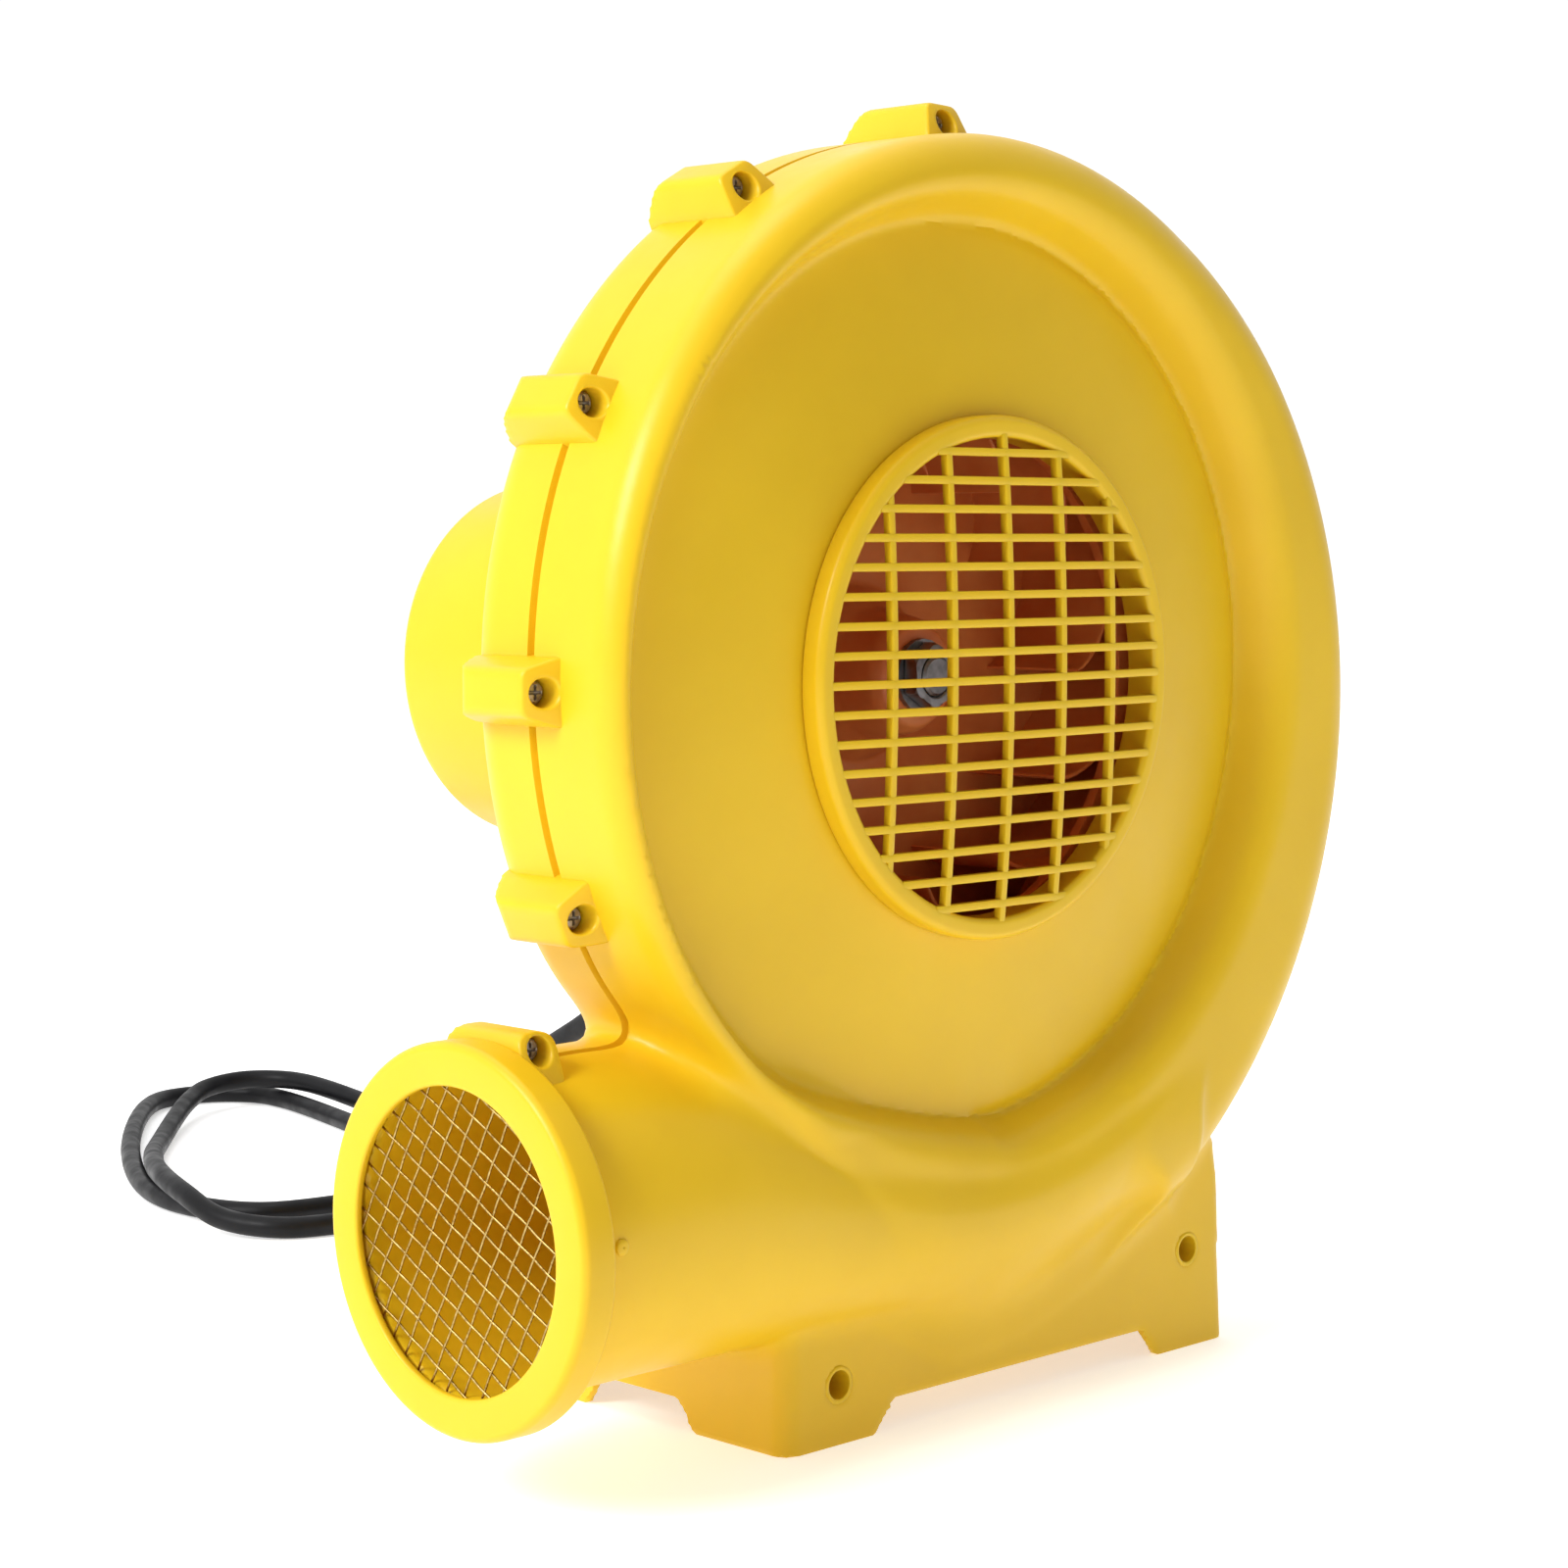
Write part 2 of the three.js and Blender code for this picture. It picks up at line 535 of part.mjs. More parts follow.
function plugParts() {
  const { length, width, height, blade: [bladeWidth, bladeLength, bladeThick], spacing } = PLUG;
  const outline = shapeOf([[0, -5], [8, -6.5], [16, -width / 2 + 1], [20, -width / 2],
    [length - 2, -width / 2], [length, -width / 2 + 2], [length, width / 2 - 2],
    [length - 2, width / 2], [20, width / 2], [16, width / 2 - 1], [8, 6.5], [0, 5]]);
  const body = new THREE.ExtrudeGeometry(outline, {
    depth: height - 6, bevelEnabled: true, bevelThickness: 3, bevelSize: 3, bevelOffset: -3,
    bevelSegments: 2,
  }).translate(0, 0, 3);
  const blades = [-1, 1].map((side) => new THREE.BoxGeometry(bladeLength, bladeThick, bladeWidth)
    .translate(length + GAP + bladeLength / 2, (side * spacing) / 2, height / 2));
  const pin = new THREE.CylinderGeometry(2.4, 2.4, 19, 12).rotateZ(Math.PI / 2)
    .translate(length + GAP + 9.5, 0, height / 2 + 6);
  return { body, blades, pin };
}

// ---- Assembly -----------------------------------------------------------------------------
const part = new THREE.Group();
const blower = new THREE.Group();
const floor = new THREE.Group();
blower.position.set(FAN.x, FAN.y, FAN.z);
floor.position.set(FAN.x, FAN.y, 0);
part.add(blower, floor);

function add(name, shape, look, parent = blower) {
  const geometry = shape.isBufferGeometry ? shape : geometryOf(shape);
  const mesh = new THREE.Mesh(geometry, look);
  mesh.name = name;
  parent.add(mesh);
  return mesh;
}

const { front, rear } = shells();
add("front_shell", front, YELLOW);
add("rear_shell", rear, YELLOW);
add("intake_grille", intakeGrille(), YELLOW);
add("outlet_ring", outletRing(), YELLOW);
add("outlet_screen", outletScreen(), ZINC);
add("motor_cover", motorCover(), YELLOW);

const screwAt = (name, x, z) => add(name, screw(), ZINC).position.set(x, HOLE.seat - GAP, z);
lugPlaces().forEach(({ x, z }, i) => screwAt(`case_screw_${i + 1}`, x, z));
BASE_SCREWS.forEach(({ x, z }, i) => screwAt(`base_screw_${i + 1}`, x, z));
COVER_SCREWS.forEach((a, i) => add(`cover_screw_${i + 1}`, radialScrew(a), ZINC));
MOTOR_BOLTS.forEach((a, i) => add(`motor_bolt_${i + 1}`, motorBolt(a), ZINC));

add("impeller", impeller(), FAN_PLASTIC);
add("impeller_shroud", impellerShroud(), FAN_PLASTIC);
add("impeller_washer", disc(11, 31.9, 33.7, SHAFT.hole, 20), STEEL);
add("impeller_nut", disc(10, 26.6, 31.6, 0, 6).subtract(rod(SHAFT.hole, 0, 0, 20, 40, 24)), STEEL);
add("motor_shaft", shaft(), STEEL);
add("rotor_core", rotorCore(), LAMINATION);
add("cooling_fan", coolingFan(), DARK_PLASTIC);

BEARINGS.forEach((y, i) => add(["front_bearing", "rear_bearing"][i],
  disc(13.1, y, y + 8, SHAFT.hole), STEEL));
add("motor_front_bell", motorBell(-1)
  .subtract(joined(MOTOR_BOLTS.map((a) => rod(2.5, ...boltPlace(a), 60, 83, 8)))), CASTING);
add("motor_rear_bell", motorBell(1), CASTING);
add("stator_core", statorCore(), LAMINATION);
add("front_winding", winding(-1), COPPER);
add("rear_winding", winding(1), COPPER);
add("run_capacitor", capacitor(), CAN);
add("capacitor_clip", capacitorClip(), STEEL);

add("motor_lead", motorLead(), RUBBER);
add("cord_strain_relief", strainRelief(), RUBBER);
add("power_cord", tube(CORD_ROUTE, CORD.r, CORD.sides, CORD.steps), RUBBER, floor);

const plug = new THREE.Group();
const last = CORD_ROUTE.at(-1);
const along = routeCurve(CORD_ROUTE).getTangent(1);
const heading = Math.atan2(along.y, along.x);
plug.position.set(last[0] + 3 * GAP * Math.cos(heading), last[1] + 3 * GAP * Math.sin(heading), 0);
plug.rotation.z = heading;
floor.add(plug);
const { body, blades, pin } = plugParts();
add("plug_body", body, RUBBER, plug);
blades.forEach((b, i) => add(`plug_blade_${i + 1}`, b, BRASS, plug));
add("plug_earth_pin", pin, BRASS, plug);

export default part;
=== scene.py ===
"""Looks for the centrifugal blower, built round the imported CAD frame.

Shapes are written in millimetres from the fan axis (x right, y back, z up, the origin on the axis
at the front plane of the intake ring). place() turns them into the frame's metres.
"""
import math
import bmesh
import bpy
import numpy as np
from mathutils import Matrix, Vector


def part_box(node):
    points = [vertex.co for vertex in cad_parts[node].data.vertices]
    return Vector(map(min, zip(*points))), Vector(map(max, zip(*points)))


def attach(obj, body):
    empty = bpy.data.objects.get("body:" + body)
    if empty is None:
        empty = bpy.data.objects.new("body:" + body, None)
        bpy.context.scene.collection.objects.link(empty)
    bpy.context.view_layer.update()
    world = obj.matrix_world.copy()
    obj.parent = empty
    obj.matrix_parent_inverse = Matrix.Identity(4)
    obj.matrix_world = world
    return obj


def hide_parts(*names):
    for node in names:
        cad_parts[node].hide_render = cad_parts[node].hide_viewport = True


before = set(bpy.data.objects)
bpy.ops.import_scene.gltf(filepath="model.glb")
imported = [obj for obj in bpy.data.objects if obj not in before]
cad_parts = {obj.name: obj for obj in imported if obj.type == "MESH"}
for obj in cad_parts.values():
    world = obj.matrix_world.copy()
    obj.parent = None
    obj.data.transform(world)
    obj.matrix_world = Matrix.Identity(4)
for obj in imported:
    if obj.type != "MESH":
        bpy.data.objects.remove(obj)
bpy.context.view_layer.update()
scene = bpy.context.scene

# ---- Places taken from the frame ----------------------------------------------------------
cover_low, cover_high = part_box("motor_cover")
ring_low, ring_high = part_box("outlet_ring")
DUCT_Y, DUCT_Z = 45.0, -147.0
FAN = np.array([
    (cover_low[0] + cover_high[0]) / 2,
    (ring_low[1] + ring_high[1]) / 2 - DUCT_Y / 1000,
    (cover_low[2] + cover_high[2]) / 2,
])


def place(points):
    return np.asarray(points, float) / 1000 + FAN


# ---- Camera -------------------------------------------------------------------------------
AZIMUTH, ELEVATION = math.radians(-44.8), math.radians(4.4)
CAMERA_AT = (-707.6, -621.5, 41.6)


def make_camera():
    data = bpy.data.cameras.new("camera")
    data.lens, data.sensor_width = 74.1, 36.0
    data.clip_start, data.clip_end = 0.01, 30
    camera = bpy.data.objects.new("camera", data)
    scene.collection.objects.link(camera)
    right = Vector((math.cos(AZIMUTH), math.sin(AZIMUTH), 0))
    back = Vector((math.sin(AZIMUTH) * math.cos(ELEVATION),
                   -math.cos(AZIMUTH) * math.cos(ELEVATION), math.sin(ELEVATION)))
    up = back.cross(right)
    turn = Matrix((right, up, back)).transposed().to_4x4()
    camera.matrix_world = Matrix.Translation(Vector(place(CAMERA_AT))) @ turn
    scene.camera = camera


make_camera()


# ---- Mesh helpers -------------------------------------------------------------------------
def mesh_object(name, points, faces, material, sharp=None):
    """An object from points in millimetres about the fan axis, on the frame's casing."""
    mesh = bpy.data.meshes.new(name)
    mesh.from_pydata(place(points).tolist(), [], [list(map(int, f)) for f in faces])
    mesh.validate()
    mesh.update()
    piece = bpy.data.objects.new(name, mesh)
    scene.collection.objects.link(piece)
    mesh.materials.append(material)
    mesh.shade_smooth()
    if sharp:
        mesh.set_sharp_from_angle(angle=math.radians(sharp))
    return piece


def skin(rings, wrap=False):
    """Points and faces of a skin over equal rings of points; wrap joins the last to the first."""
    rings = np.asarray(rings, float)
    count, size = rings.shape[:2]
    faces = []
    for i in range(count if wrap else count - 1):
        a, b = i * size, (i + 1) % count * size
        for j in range(size):
            k = (j + 1) % size
            faces.append((a + j, a + k, b + k, b + j))
    if not wrap:
        faces.append(tuple(range(size))[::-1])
        faces.append(tuple(range((count - 1) * size, count * size)))
    return rings.reshape(-1, 3), faces


def together(*parts):
    """Several (points, faces) as one."""
    points, faces, start = [], [], 0
    for p, f in parts:
        points.append(np.asarray(p, float))
        faces += [tuple(i + start for i in face) for face in f]
        start += len(p)
    return np.concatenate(points), faces


def turned(profile, segments):
    """A closed profile of (radius, y) turned about the fan axis, as points and faces."""
    angles = np.linspace(0, 2 * math.pi, segments, endpoint=False)
    rings = [[(r * math.cos(a), y, r * math.sin(a)) for r, y in profile] for a in angles]
    return skin(rings, wrap=True)


def rounded(profile, radius, steps=3):
    """The profile with each corner cut to an arc of about that radius."""
    profile = np.asarray(profile, float)
    out = []
    for i, here in enumerate(profile):
        before, after = profile[i - 1], profile[(i + 1) % len(profile)]
        a, b = before - here, after - here
        reach = min(radius, np.linalg.norm(a) * 0.45, np.linalg.norm(b) * 0.45)
        start = here + a / np.linalg.norm(a) * reach
        end = here + b / np.linalg.norm(b) * reach
        for t in np.linspace(0, 1, steps + 1):
            out.append((1 - t) ** 2 * start + 2 * t * (1 - t) * here + t ** 2 * end)
    return np.array(out)


def ride(piece, body="casing", node=None):
    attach(piece, body)
    if node:
        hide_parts(*([node] if isinstance(node, str) else node))
    return piece


# ---- Materials ----------------------------------------------------------------------------
def shader(name, color, rough=0.4, metallic=0.0):
    material = bpy.data.materials.new(name)
    material.use_nodes = True
    tree = material.node_tree
    principled = tree.nodes["Principled BSDF"]
    principled.inputs["Base Color"].default_value = (*color, 1)
    principled.inputs["Roughness"].default_value = rough
    principled.inputs["Metallic"].default_value = metallic
    return material, tree, principled


def node(tree, kind, inputs=(), **settings):
    made = tree.nodes.new(kind)
    for key, value in settings.items():
        setattr(made, key, value)
    for key, value in dict(inputs).items():
        if isinstance(value, bpy.types.NodeSocket):
            tree.links.new(value, made.inputs[key])
        else:
            made.inputs[key].default_value = value
    return made


def noise(tree, scale, detail=3, rough=0.5):
    coordinates = node(tree, "ShaderNodeTexCoord").outputs["Object"]
    return node(tree, "ShaderNodeTexNoise", {
        "Vector": coordinates, "Scale": scale, "Detail": detail, "Roughness": rough,
    }).outputs["Fac"]


def ramp(tree, factor, *stops):
    made = node(tree, "ShaderNodeValToRGB", {"Fac": factor})
    elements = made.color_ramp.elements
    while len(elements) < len(stops):
        elements.new(0.5)
    for element, (at, color) in zip(elements, stops):
        element.position = at
        element.color = (*color, 1)
    return made.outputs["Color"]


def remap(tree, value, low, high, start=0.0, end=1.0):
    return node(tree, "ShaderNodeMapRange", {
        "Value": value, "From Min": start, "From Max": end, "To Min": low, "To Max": high,
    }).outputs["Result"]


def bumped(tree, principled, *layers):
    """Bump layers of (height, strength, distance in metres), one on another."""
    normal = None
    for height, strength, distance in layers:
        inputs = {"Height": height, "Strength": strength, "Distance": distance}
        if normal:
            inputs["Normal"] = normal
        normal = node(tree, "ShaderNodeBump", inputs).outputs["Normal"]
    tree.links.new(normal, principled.inputs["Normal"])


def srgb(code):
    values = [int(code[i:i + 2], 16) / 255 for i in (0, 2, 4)]
    return tuple(v / 12.92 if v <= 0.04045 else ((v + 0.055) / 1.055) ** 2.4 for v in values)


def yellow_plastic():
    """Moulded plastic: faint flow marks, a fine moulded skin and slightly uneven gloss."""
    light, dark = srgb("e6bd1e"), srgb("deb519")
    material, tree, principled = shader("yellow_plastic", light)
    cloud = noise(tree, 14, 4, 0.55)
    tree.links.new(ramp(tree, cloud, (0.3, dark), (0.7, light)), principled.inputs["Base Color"])
    tree.links.new(remap(tree, noise(tree, 45, 5, 0.6), 0.30, 0.42, 0.3, 0.7),
                   principled.inputs["Roughness"])
    bumped(tree, principled, (noise(tree, 900, 2), 0.06, 0.0002),
           (noise(tree, 60, 2), 0.08, 0.0006))
    principled.inputs["Subsurface Weight"].default_value = 0.12
    principled.inputs["Subsurface Radius"].default_value = (0.006, 0.0035, 0.0006)
    principled.inputs["Subsurface Scale"].default_value = 1.0
    principled.inputs["Specular IOR Level"].default_value = 0.3
    return material


def rubber():
    material, tree, principled = shader("black_rubber", srgb("0e0e10"), 0.45)
    tree.links.new(remap(tree, noise(tree, 120, 4), 0.36, 0.58, 0.3, 0.7),
                   principled.inputs["Roughness"])
    tree.links.new(ramp(tree, noise(tree, 70, 4), (0.3, srgb("0a0a0c")), (0.75, srgb("161619"))),
                   principled.inputs["Base Color"])
    bumped(tree, principled, (noise(tree, 1500, 2), 0.12, 0.0002))
    principled.inputs["Specular IOR Level"].default_value = 0.2
    return material


def metal(name, light, dark, rough, grain=200, metallic=1.0):
    material, tree, principled = shader(name, srgb(light), rough, metallic)
    cloud = noise(tree, grain, 5, 0.6)
    tree.links.new(ramp(tree, cloud, (0.3, srgb(dark)), (0.7, srgb(light))),
                   principled.inputs["Base Color"])
    tree.links.new(remap(tree, cloud, rough - 0.08, rough + 0.12, 0.3, 0.7),
                   principled.inputs["Roughness"])
    bumped(tree, principled, (noise(tree, grain * 6, 2), 0.1, 0.0001))
    return material


YELLOW = yellow_plastic()
RUBBER = rubber()
ZINC = metal("zinc_plate", "b4aca0", "7c746a", 0.35, 500, 0.7)
STEEL = metal("turned_steel", "98989a", "707072", 0.35)
CASTING = metal("cast_aluminium", "a8aaac", "84868a", 0.5)
LAMINATION = metal("sheet_steel", "66696e", "4a4c50", 0.45)
COPPER = metal("winding", "b87440", "8a4c24", 0.35, 700)
BRASS = metal("bare_brass", "cfae5c", "a8853c", 0.28)
WIRE = metal("galvanised_wire", "c8b070", "8a6a30", 0.3, 900)


# ---- Cord and plug ------------------------------------------------------------------------
CORD_R = 4.1
FLOOR = -FAN[2] * 1000
# The same route as the CAD cord's: x and y as above, z above the floor.
CORD_ROUTE = [
    (0, 161, 142.7), (0, 161.4, 132), (0, 165.2, 119.5), (0.5, 173.5, 109), (2, 186.5, 100.5),
    (7, 215, 86.5), (22, 254, 65), (48, 292, 42.5), (78, 327, 27), (104, 366, 17.5),
    (123, 408, 11), (137, 458, 5.4), (167.3, 589.3, 4.3), (164.9, 609.6, 4.3), (150.3, 624, 4.3),
    (130, 626.2, 4.3), (112.7, 615.3, 4.3), (44, 526, 4.3), (4, 448, 4.3), (1.5, 412, 4.3),
    (12, 389, 4.3), (35, 380, 4.3), (110, 381, 4.3), (145, 402, 4.3), (167, 447, 4.3),
    (174, 510, 6), (172, 573, 12.6), (166.7, 590, 13.3), (152.8, 601, 13.2),
    (135.2, 602.2, 11.5), (119.7, 593, 9), (62, 532, 4.6), (30, 488, 9.5), (3, 443, 13.3),
    (-10, 408, 12.4), (-10.5, 382, 6.4), (0, 362, 4.4), (21, 352, 4.3), (90, 351, 5.2),
    (112, 351, 9.5),
]
PLUG_PINS = ("plug_blade_1", "plug_blade_2", "plug_earth_pin")


def through(points, per_span):
    """A centripetal Catmull-Rom curve through the points, the curve that the CAD cord follows."""
    p = np.asarray(points, float)
    p = np.vstack([2 * p[0] - p[1], p, 2 * p[-1] - p[-2]])
    out = []
    for p0, p1, p2, p3 in zip(p, p[1:], p[2:], p[3:]):
        a, b, c = (max(np.sum((u - v) ** 2) ** 0.25, 1e-4)
                   for u, v in ((p0, p1), (p1, p2), (p2, p3)))
        t1 = ((p1 - p0) / a - (p2 - p0) / (a + b) + (p2 - p1) / b) * b
        t2 = ((p2 - p1) / b - (p3 - p1) / (b + c) + (p3 - p2) / c) * b
        for w in np.linspace(0, 1, per_span, endpoint=False):
            out.append(p1 + t1 * w + (3 * (p2 - p1) - 2 * t1 - t2) * w ** 2
                       + (2 * (p1 - p2) + t1 + t2) * w ** 3)
    return np.array(out + [p[-2]])


def along(path, section):
    """Rings of a section of (side, up) points carried along a path without twist."""
    tangents = np.gradient(path, axis=0)
    tangents /= np.linalg.norm(tangents, axis=1)[:, None]
    side = np.cross(tangents[0], (0, 0.3, 1.0))
    rings = []
    for at, forward in zip(path, tangents):
        side = side - forward * side.dot(forward)
        side /= np.linalg.norm(side)
        up = np.cross(side, forward)
        rings.append([at + (u * side + v * up) for u, v in section])
    return np.array(rings)


def circle(radius, count):
    angles = [2 * math.pi * i / count for i in range(count)]
    return [(radius * math.cos(a), radius * math.sin(a)) for a in angles]


def make_cord():
    path = through([(x, y, z + FLOOR) for x, y, z in CORD_ROUTE], 12)
    cord = mesh_object("power_cord_jacket", *skin(along(path, circle(CORD_R, 24))), RUBBER)
    steps = np.linalg.norm(np.diff(path, axis=0), axis=1)
    return ride(cord, node="power_cord"), path, steps.sum() / 1000


def make_plug(path):
    """A moulded plug: a grip with finger ribs that necks down to the cord."""
    end = path[-1]
    forward = np.array([*(path[-1] - path[-4])[:2], 0])
    forward /= np.linalg.norm(forward)
    across = np.array([-forward[1], forward[0], 0])
    start = end + forward * 0.9
    stations = [(0, 5, 5), (2, 5.6, 5.6), (9, 6.8, 6.6), (13, 9.6, 8.2), (17, 12.2, 9.2),
                (21, 12.9, 9.5), (24, 12.2, 9.1), (26.5, 12.9, 9.5), (29, 12.2, 9.1),
                (31.5, 12.9, 9.5), (36, 13, 9.5), (40.6, 12.9, 9.4), (41.7, 12.3, 8.8),
                (42, 11, 7.6)]
    rings = []
    for at, half_width, half_height in stations:
        ring = []
        for i in range(40):
            a = 2 * math.pi * i / 40
            c, s = math.cos(a), math.sin(a)
            power = 0.55 if at > 14 else 1
            u = half_width * math.copysign(abs(c) ** power, c)
            v = half_height * math.copysign(abs(s) ** power, s)
            ring.append(start + forward * at + across * u + np.array([0, 0, v]))
        rings.append(ring)
    body = mesh_object("plug_grip", *skin(rings), RUBBER)
    ride(body, node="plug_body")
    for name in PLUG_PINS:
        paint(name, BRASS)
    return body


def paint(name, material):
    """A CAD node's own mesh with a better material."""
    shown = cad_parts[name]
    shown.data.materials.clear()
    shown.data.materials.append(material)


def make_strain_relief():
    """A tapered boot with flex slots, under the motor cover."""
    profile = [(2, -52), (6, -52), (6, -59.2), (9, -59.4), (9, -62), (7.2, -63.4)]
    for i in range(5):
        z = -64.6 - 2.7 * i
        r = 7.0 - 0.28 * i
        profile += [(r, z), (r, z - 1.3), (r - 0.9, z - 1.6), (r - 0.9, z - 2.4)]
    profile += [(5.4, -78.6), (4.9, -79), (2, -79)]
    rings = []
    for a in np.linspace(0, 2 * math.pi, 48, endpoint=False):
        rings.append([(r * math.cos(a), 161 + r * math.sin(a), z) for r, z in profile])
    boot = mesh_object("strain_relief_boot", *skin(rings, wrap=True), RUBBER, sharp=40)
    ride(boot, node="cord_strain_relief")


cord, cord_path, cord_length = make_cord()
plug = make_plug(cord_path)
make_strain_relief()


# ---- Casing as a distance field -----------------------------------------------------------
# Negative inside, in millimetres. The field is meshed once, then cut at the parting plane.
SCROLL_ANGLES = np.radians([-90, -60, -30, 0, 30, 60, 90, 120, 150, 180, 210, 234, 250, 262])
SCROLL_RADII = np.array([197, 193, 188.5, 183, 174.5, 165, 158.5, 154, 150, 147, 147, 147, 163,
                         187])
SCROLL_FRONT, SCROLL_BACK, PARTING = 3.5, 69.0, 39.3
GROOVE, GROOVE_DEPTH = 1.0, 2.0  # half width and depth of the parting line's groove
WALL = 3.0
DUCT_STATIONS = np.array([  # x, y, z, half depth, half height
    (-190, 45, -147, 45.5, 45.5), (-100, 45, -147, 45.5, 45.5), (-45, 43, -156, 41, 36),
    (20, 38, -162, 34, 32), (80, 36, -148, 31, 26), (130, 36, -140, 31, 24),
])
DUCT_END, DUCT_STOP = -166.9, 95  # x where the duct opens, and where it stops in the scroll
DUCT_WALL, BORE_STOP = 3.5, -90  # wall of the round part of the duct, and x where that ends
# x and z of the line where the dish ends above the duct.
CROWN = ([-135, -116, -89, -62, -40, -18, 5, 35],
         [-103, -107, -114, -122, -129, -134.5, -139, -152])
FLANK_R = 141.5  # where the flank round the dish reaches the front plane
FLANK_OUT, FLANK_IN = 0.9, 0.435  # direction of the flank's face: outwards, towards the back
DISH_R, DISH_Y = 76.0, 7.5  # where the dish starts to slope back from the intake ring
CREASE_R = 133.2  # shallow groove where the dish meets its flank
ROLL_R, ROLL_Y, ROLL_TUBE = 155.5, 19.5, 16.0  # centre and radius of the roll above the base
LOW_FRONT = 26.5  # low down, only the roll stands in front of this plane
EYE_R, EYE_DEPTH = 73.5, 30


def eased(x, xs, ys):
    """Smooth monotone interpolation through the points (xs, ys)."""
    i = np.clip(np.searchsorted(xs, x) - 1, 0, len(xs) - 2)
    slopes = np.gradient(ys, xs)
    h = xs[i + 1] - xs[i]
    t = np.clip((x - xs[i]) / h, 0, 1)
    a, b = ys[i], ys[i + 1]
    return (a * (1 + 2 * t) * (1 - t) ** 2 + slopes[i] * h * t * (1 - t) ** 2
            + b * t * t * (3 - 2 * t) + slopes[i + 1] * h * t * t * (t - 1))


TABLE_ANGLES = np.linspace(-math.pi / 2, 3 * math.pi / 2, 1441)
TABLE_RADII = eased(TABLE_ANGLES, np.append(SCROLL_ANGLES, 1.5 * math.pi),
                    np.append(SCROLL_RADII, 197.0))


def scroll_radius(angle):
    wrapped = (angle + math.pi / 2) % (2 * math.pi) - math.pi / 2
    return np.interp(wrapped, TABLE_ANGLES, TABLE_RADII)


def soft_min(a, b, k):
    h = np.clip(0.5 + 0.5 * (b - a) / k, 0, 1)
    return b + (a - b) * h - k * h * (1 - h)


def soft_max(a, b, k):
    return -soft_min(-a, -b, k)


def ramped(value, low, high):
    t = np.clip((value - low) / (high - low), 0, 1)
    return t * t * (3 - 2 * t)


def plate(flat, y, front, back, round_front, round_back):
    """A flat outline's distance made into a slab from front to back with rounded ends."""
    radius = np.where(y < (front + back) / 2, round_front, round_back)
    deep = np.maximum(front - y, y - back) + radius
    wide = flat + radius
    return (np.minimum(np.maximum(wide, deep), 0)
            + np.hypot(np.maximum(wide, 0), np.maximum(deep, 0)) - radius)


def duct_field(x, y, z, inset=0.0):
    xs = DUCT_STATIONS[:, 0]
    cy, cz, a, b = (eased(x, xs, DUCT_STATIONS[:, i]) for i in (1, 2, 3, 4))
    a, b = a - inset, b - inset
    u, v = (y - cy) / a, (z - cz) / b
    tube = (np.sqrt(u * u + v * v) - 1) * np.minimum(a, b)
    return np.maximum(tube, x - DUCT_STOP)


def air_field(x, y, z):
    """Outside of the scroll and the duct, without the base."""
    r, angle = np.hypot(x, z), np.arctan2(z, x)
    edge = scroll_radius(angle)
    width = np.clip(edge - FLANK_R, 5, 50)
    outer = plate(r - edge, y, SCROLL_FRONT, SCROLL_BACK,
                  np.clip(7 + width * 0.42, 11, 17.5), 14.0)
    tube = np.hypot(np.maximum(r - ROLL_R, 0), np.minimum(y - ROLL_Y, 0)) - ROLL_TUBE
    low = ramped(-z, 95, 130) * ramped(-x, -118, -62)
    outer = soft_max(outer, soft_min(tube, LOW_FRONT - y, 3) - 45 * (1 - low), 2)
    crown = np.interp(x, *CROWN)
    flank = soft_max(r - FLANK_R, crown - z, 6) * FLANK_OUT + (y - SCROLL_FRONT) * FLANK_IN
    dish = (y - DISH_Y) * 0.984 - np.maximum(r - DISH_R, 0) * 0.177
    dish = dish - 0.9 * np.exp(-((r - CREASE_R) / 1.8) ** 2)
    narrow = ramped(width, 26, 8)
    hollow = soft_max(flank, dish, 1.2 + 6 * narrow)
    dished = soft_max(outer, -hollow, 4 + 4 * ramped(width, 8, 36))
    blend = (1.5 + 12 * ramped(r, 128, 142) * ramped(-x, 66, 104)
             + 8 * ramped(r, 143, 158) * ramped(x, -70, -20))
    return soft_min(dished, duct_field(x, y, z), blend)


def box_field(x, y, low, high, radius):
    dx = np.abs(x - (low[0] + high[0]) / 2) - (high[0] - low[0]) / 2 + radius
    dy = np.abs(y - (low[1] + high[1]) / 2) - (high[1] - low[1]) / 2 + radius
    return (np.minimum(np.maximum(dx, dy), 0)
            + np.hypot(np.maximum(dx, 0), np.maximum(dy, 0)) - radius)


BASE_LOW, BASE_HIGH = (-70, 20), (134, 145)
BASE_SCREWS = ((-48.0, -204.0), (114.0, -189.5))
BASE_TOP = -165.0
BASE_DRAFT = 0.068
WELL_R, WELL_END, POST_R, POST_END = 4.3, 34.2, 7.5, 56  # wells of the base screws, in posts
# Outlines (x, z), anticlockwise: the base's right shoulder, the web between scroll and duct, and
# the rail on top of the duct.
SHOULDER = [(60, -190), (131.9, -190), (130.4, -167), (128.2, -155.5), (116, -149), (60, -152)]
WEB = [(-60, -150), (-60, -90), (-96, -94), (-121, -104)]
DUCT_RAIL = [(-157, -112), (-100, -112), (-100, -100.4), (-157, -101)]
WEB_BACK, SHOULDER_BACK = 61, 57
# The gaps between the feet: where each starts and ends at the floor, and how far its sides lean
# in per millimetre of height.
GAP_HIGH, GAP_ACROSS, GAP_ALONG = 9.5, (-32, 99, 0.84), (59, 106, 0.63)


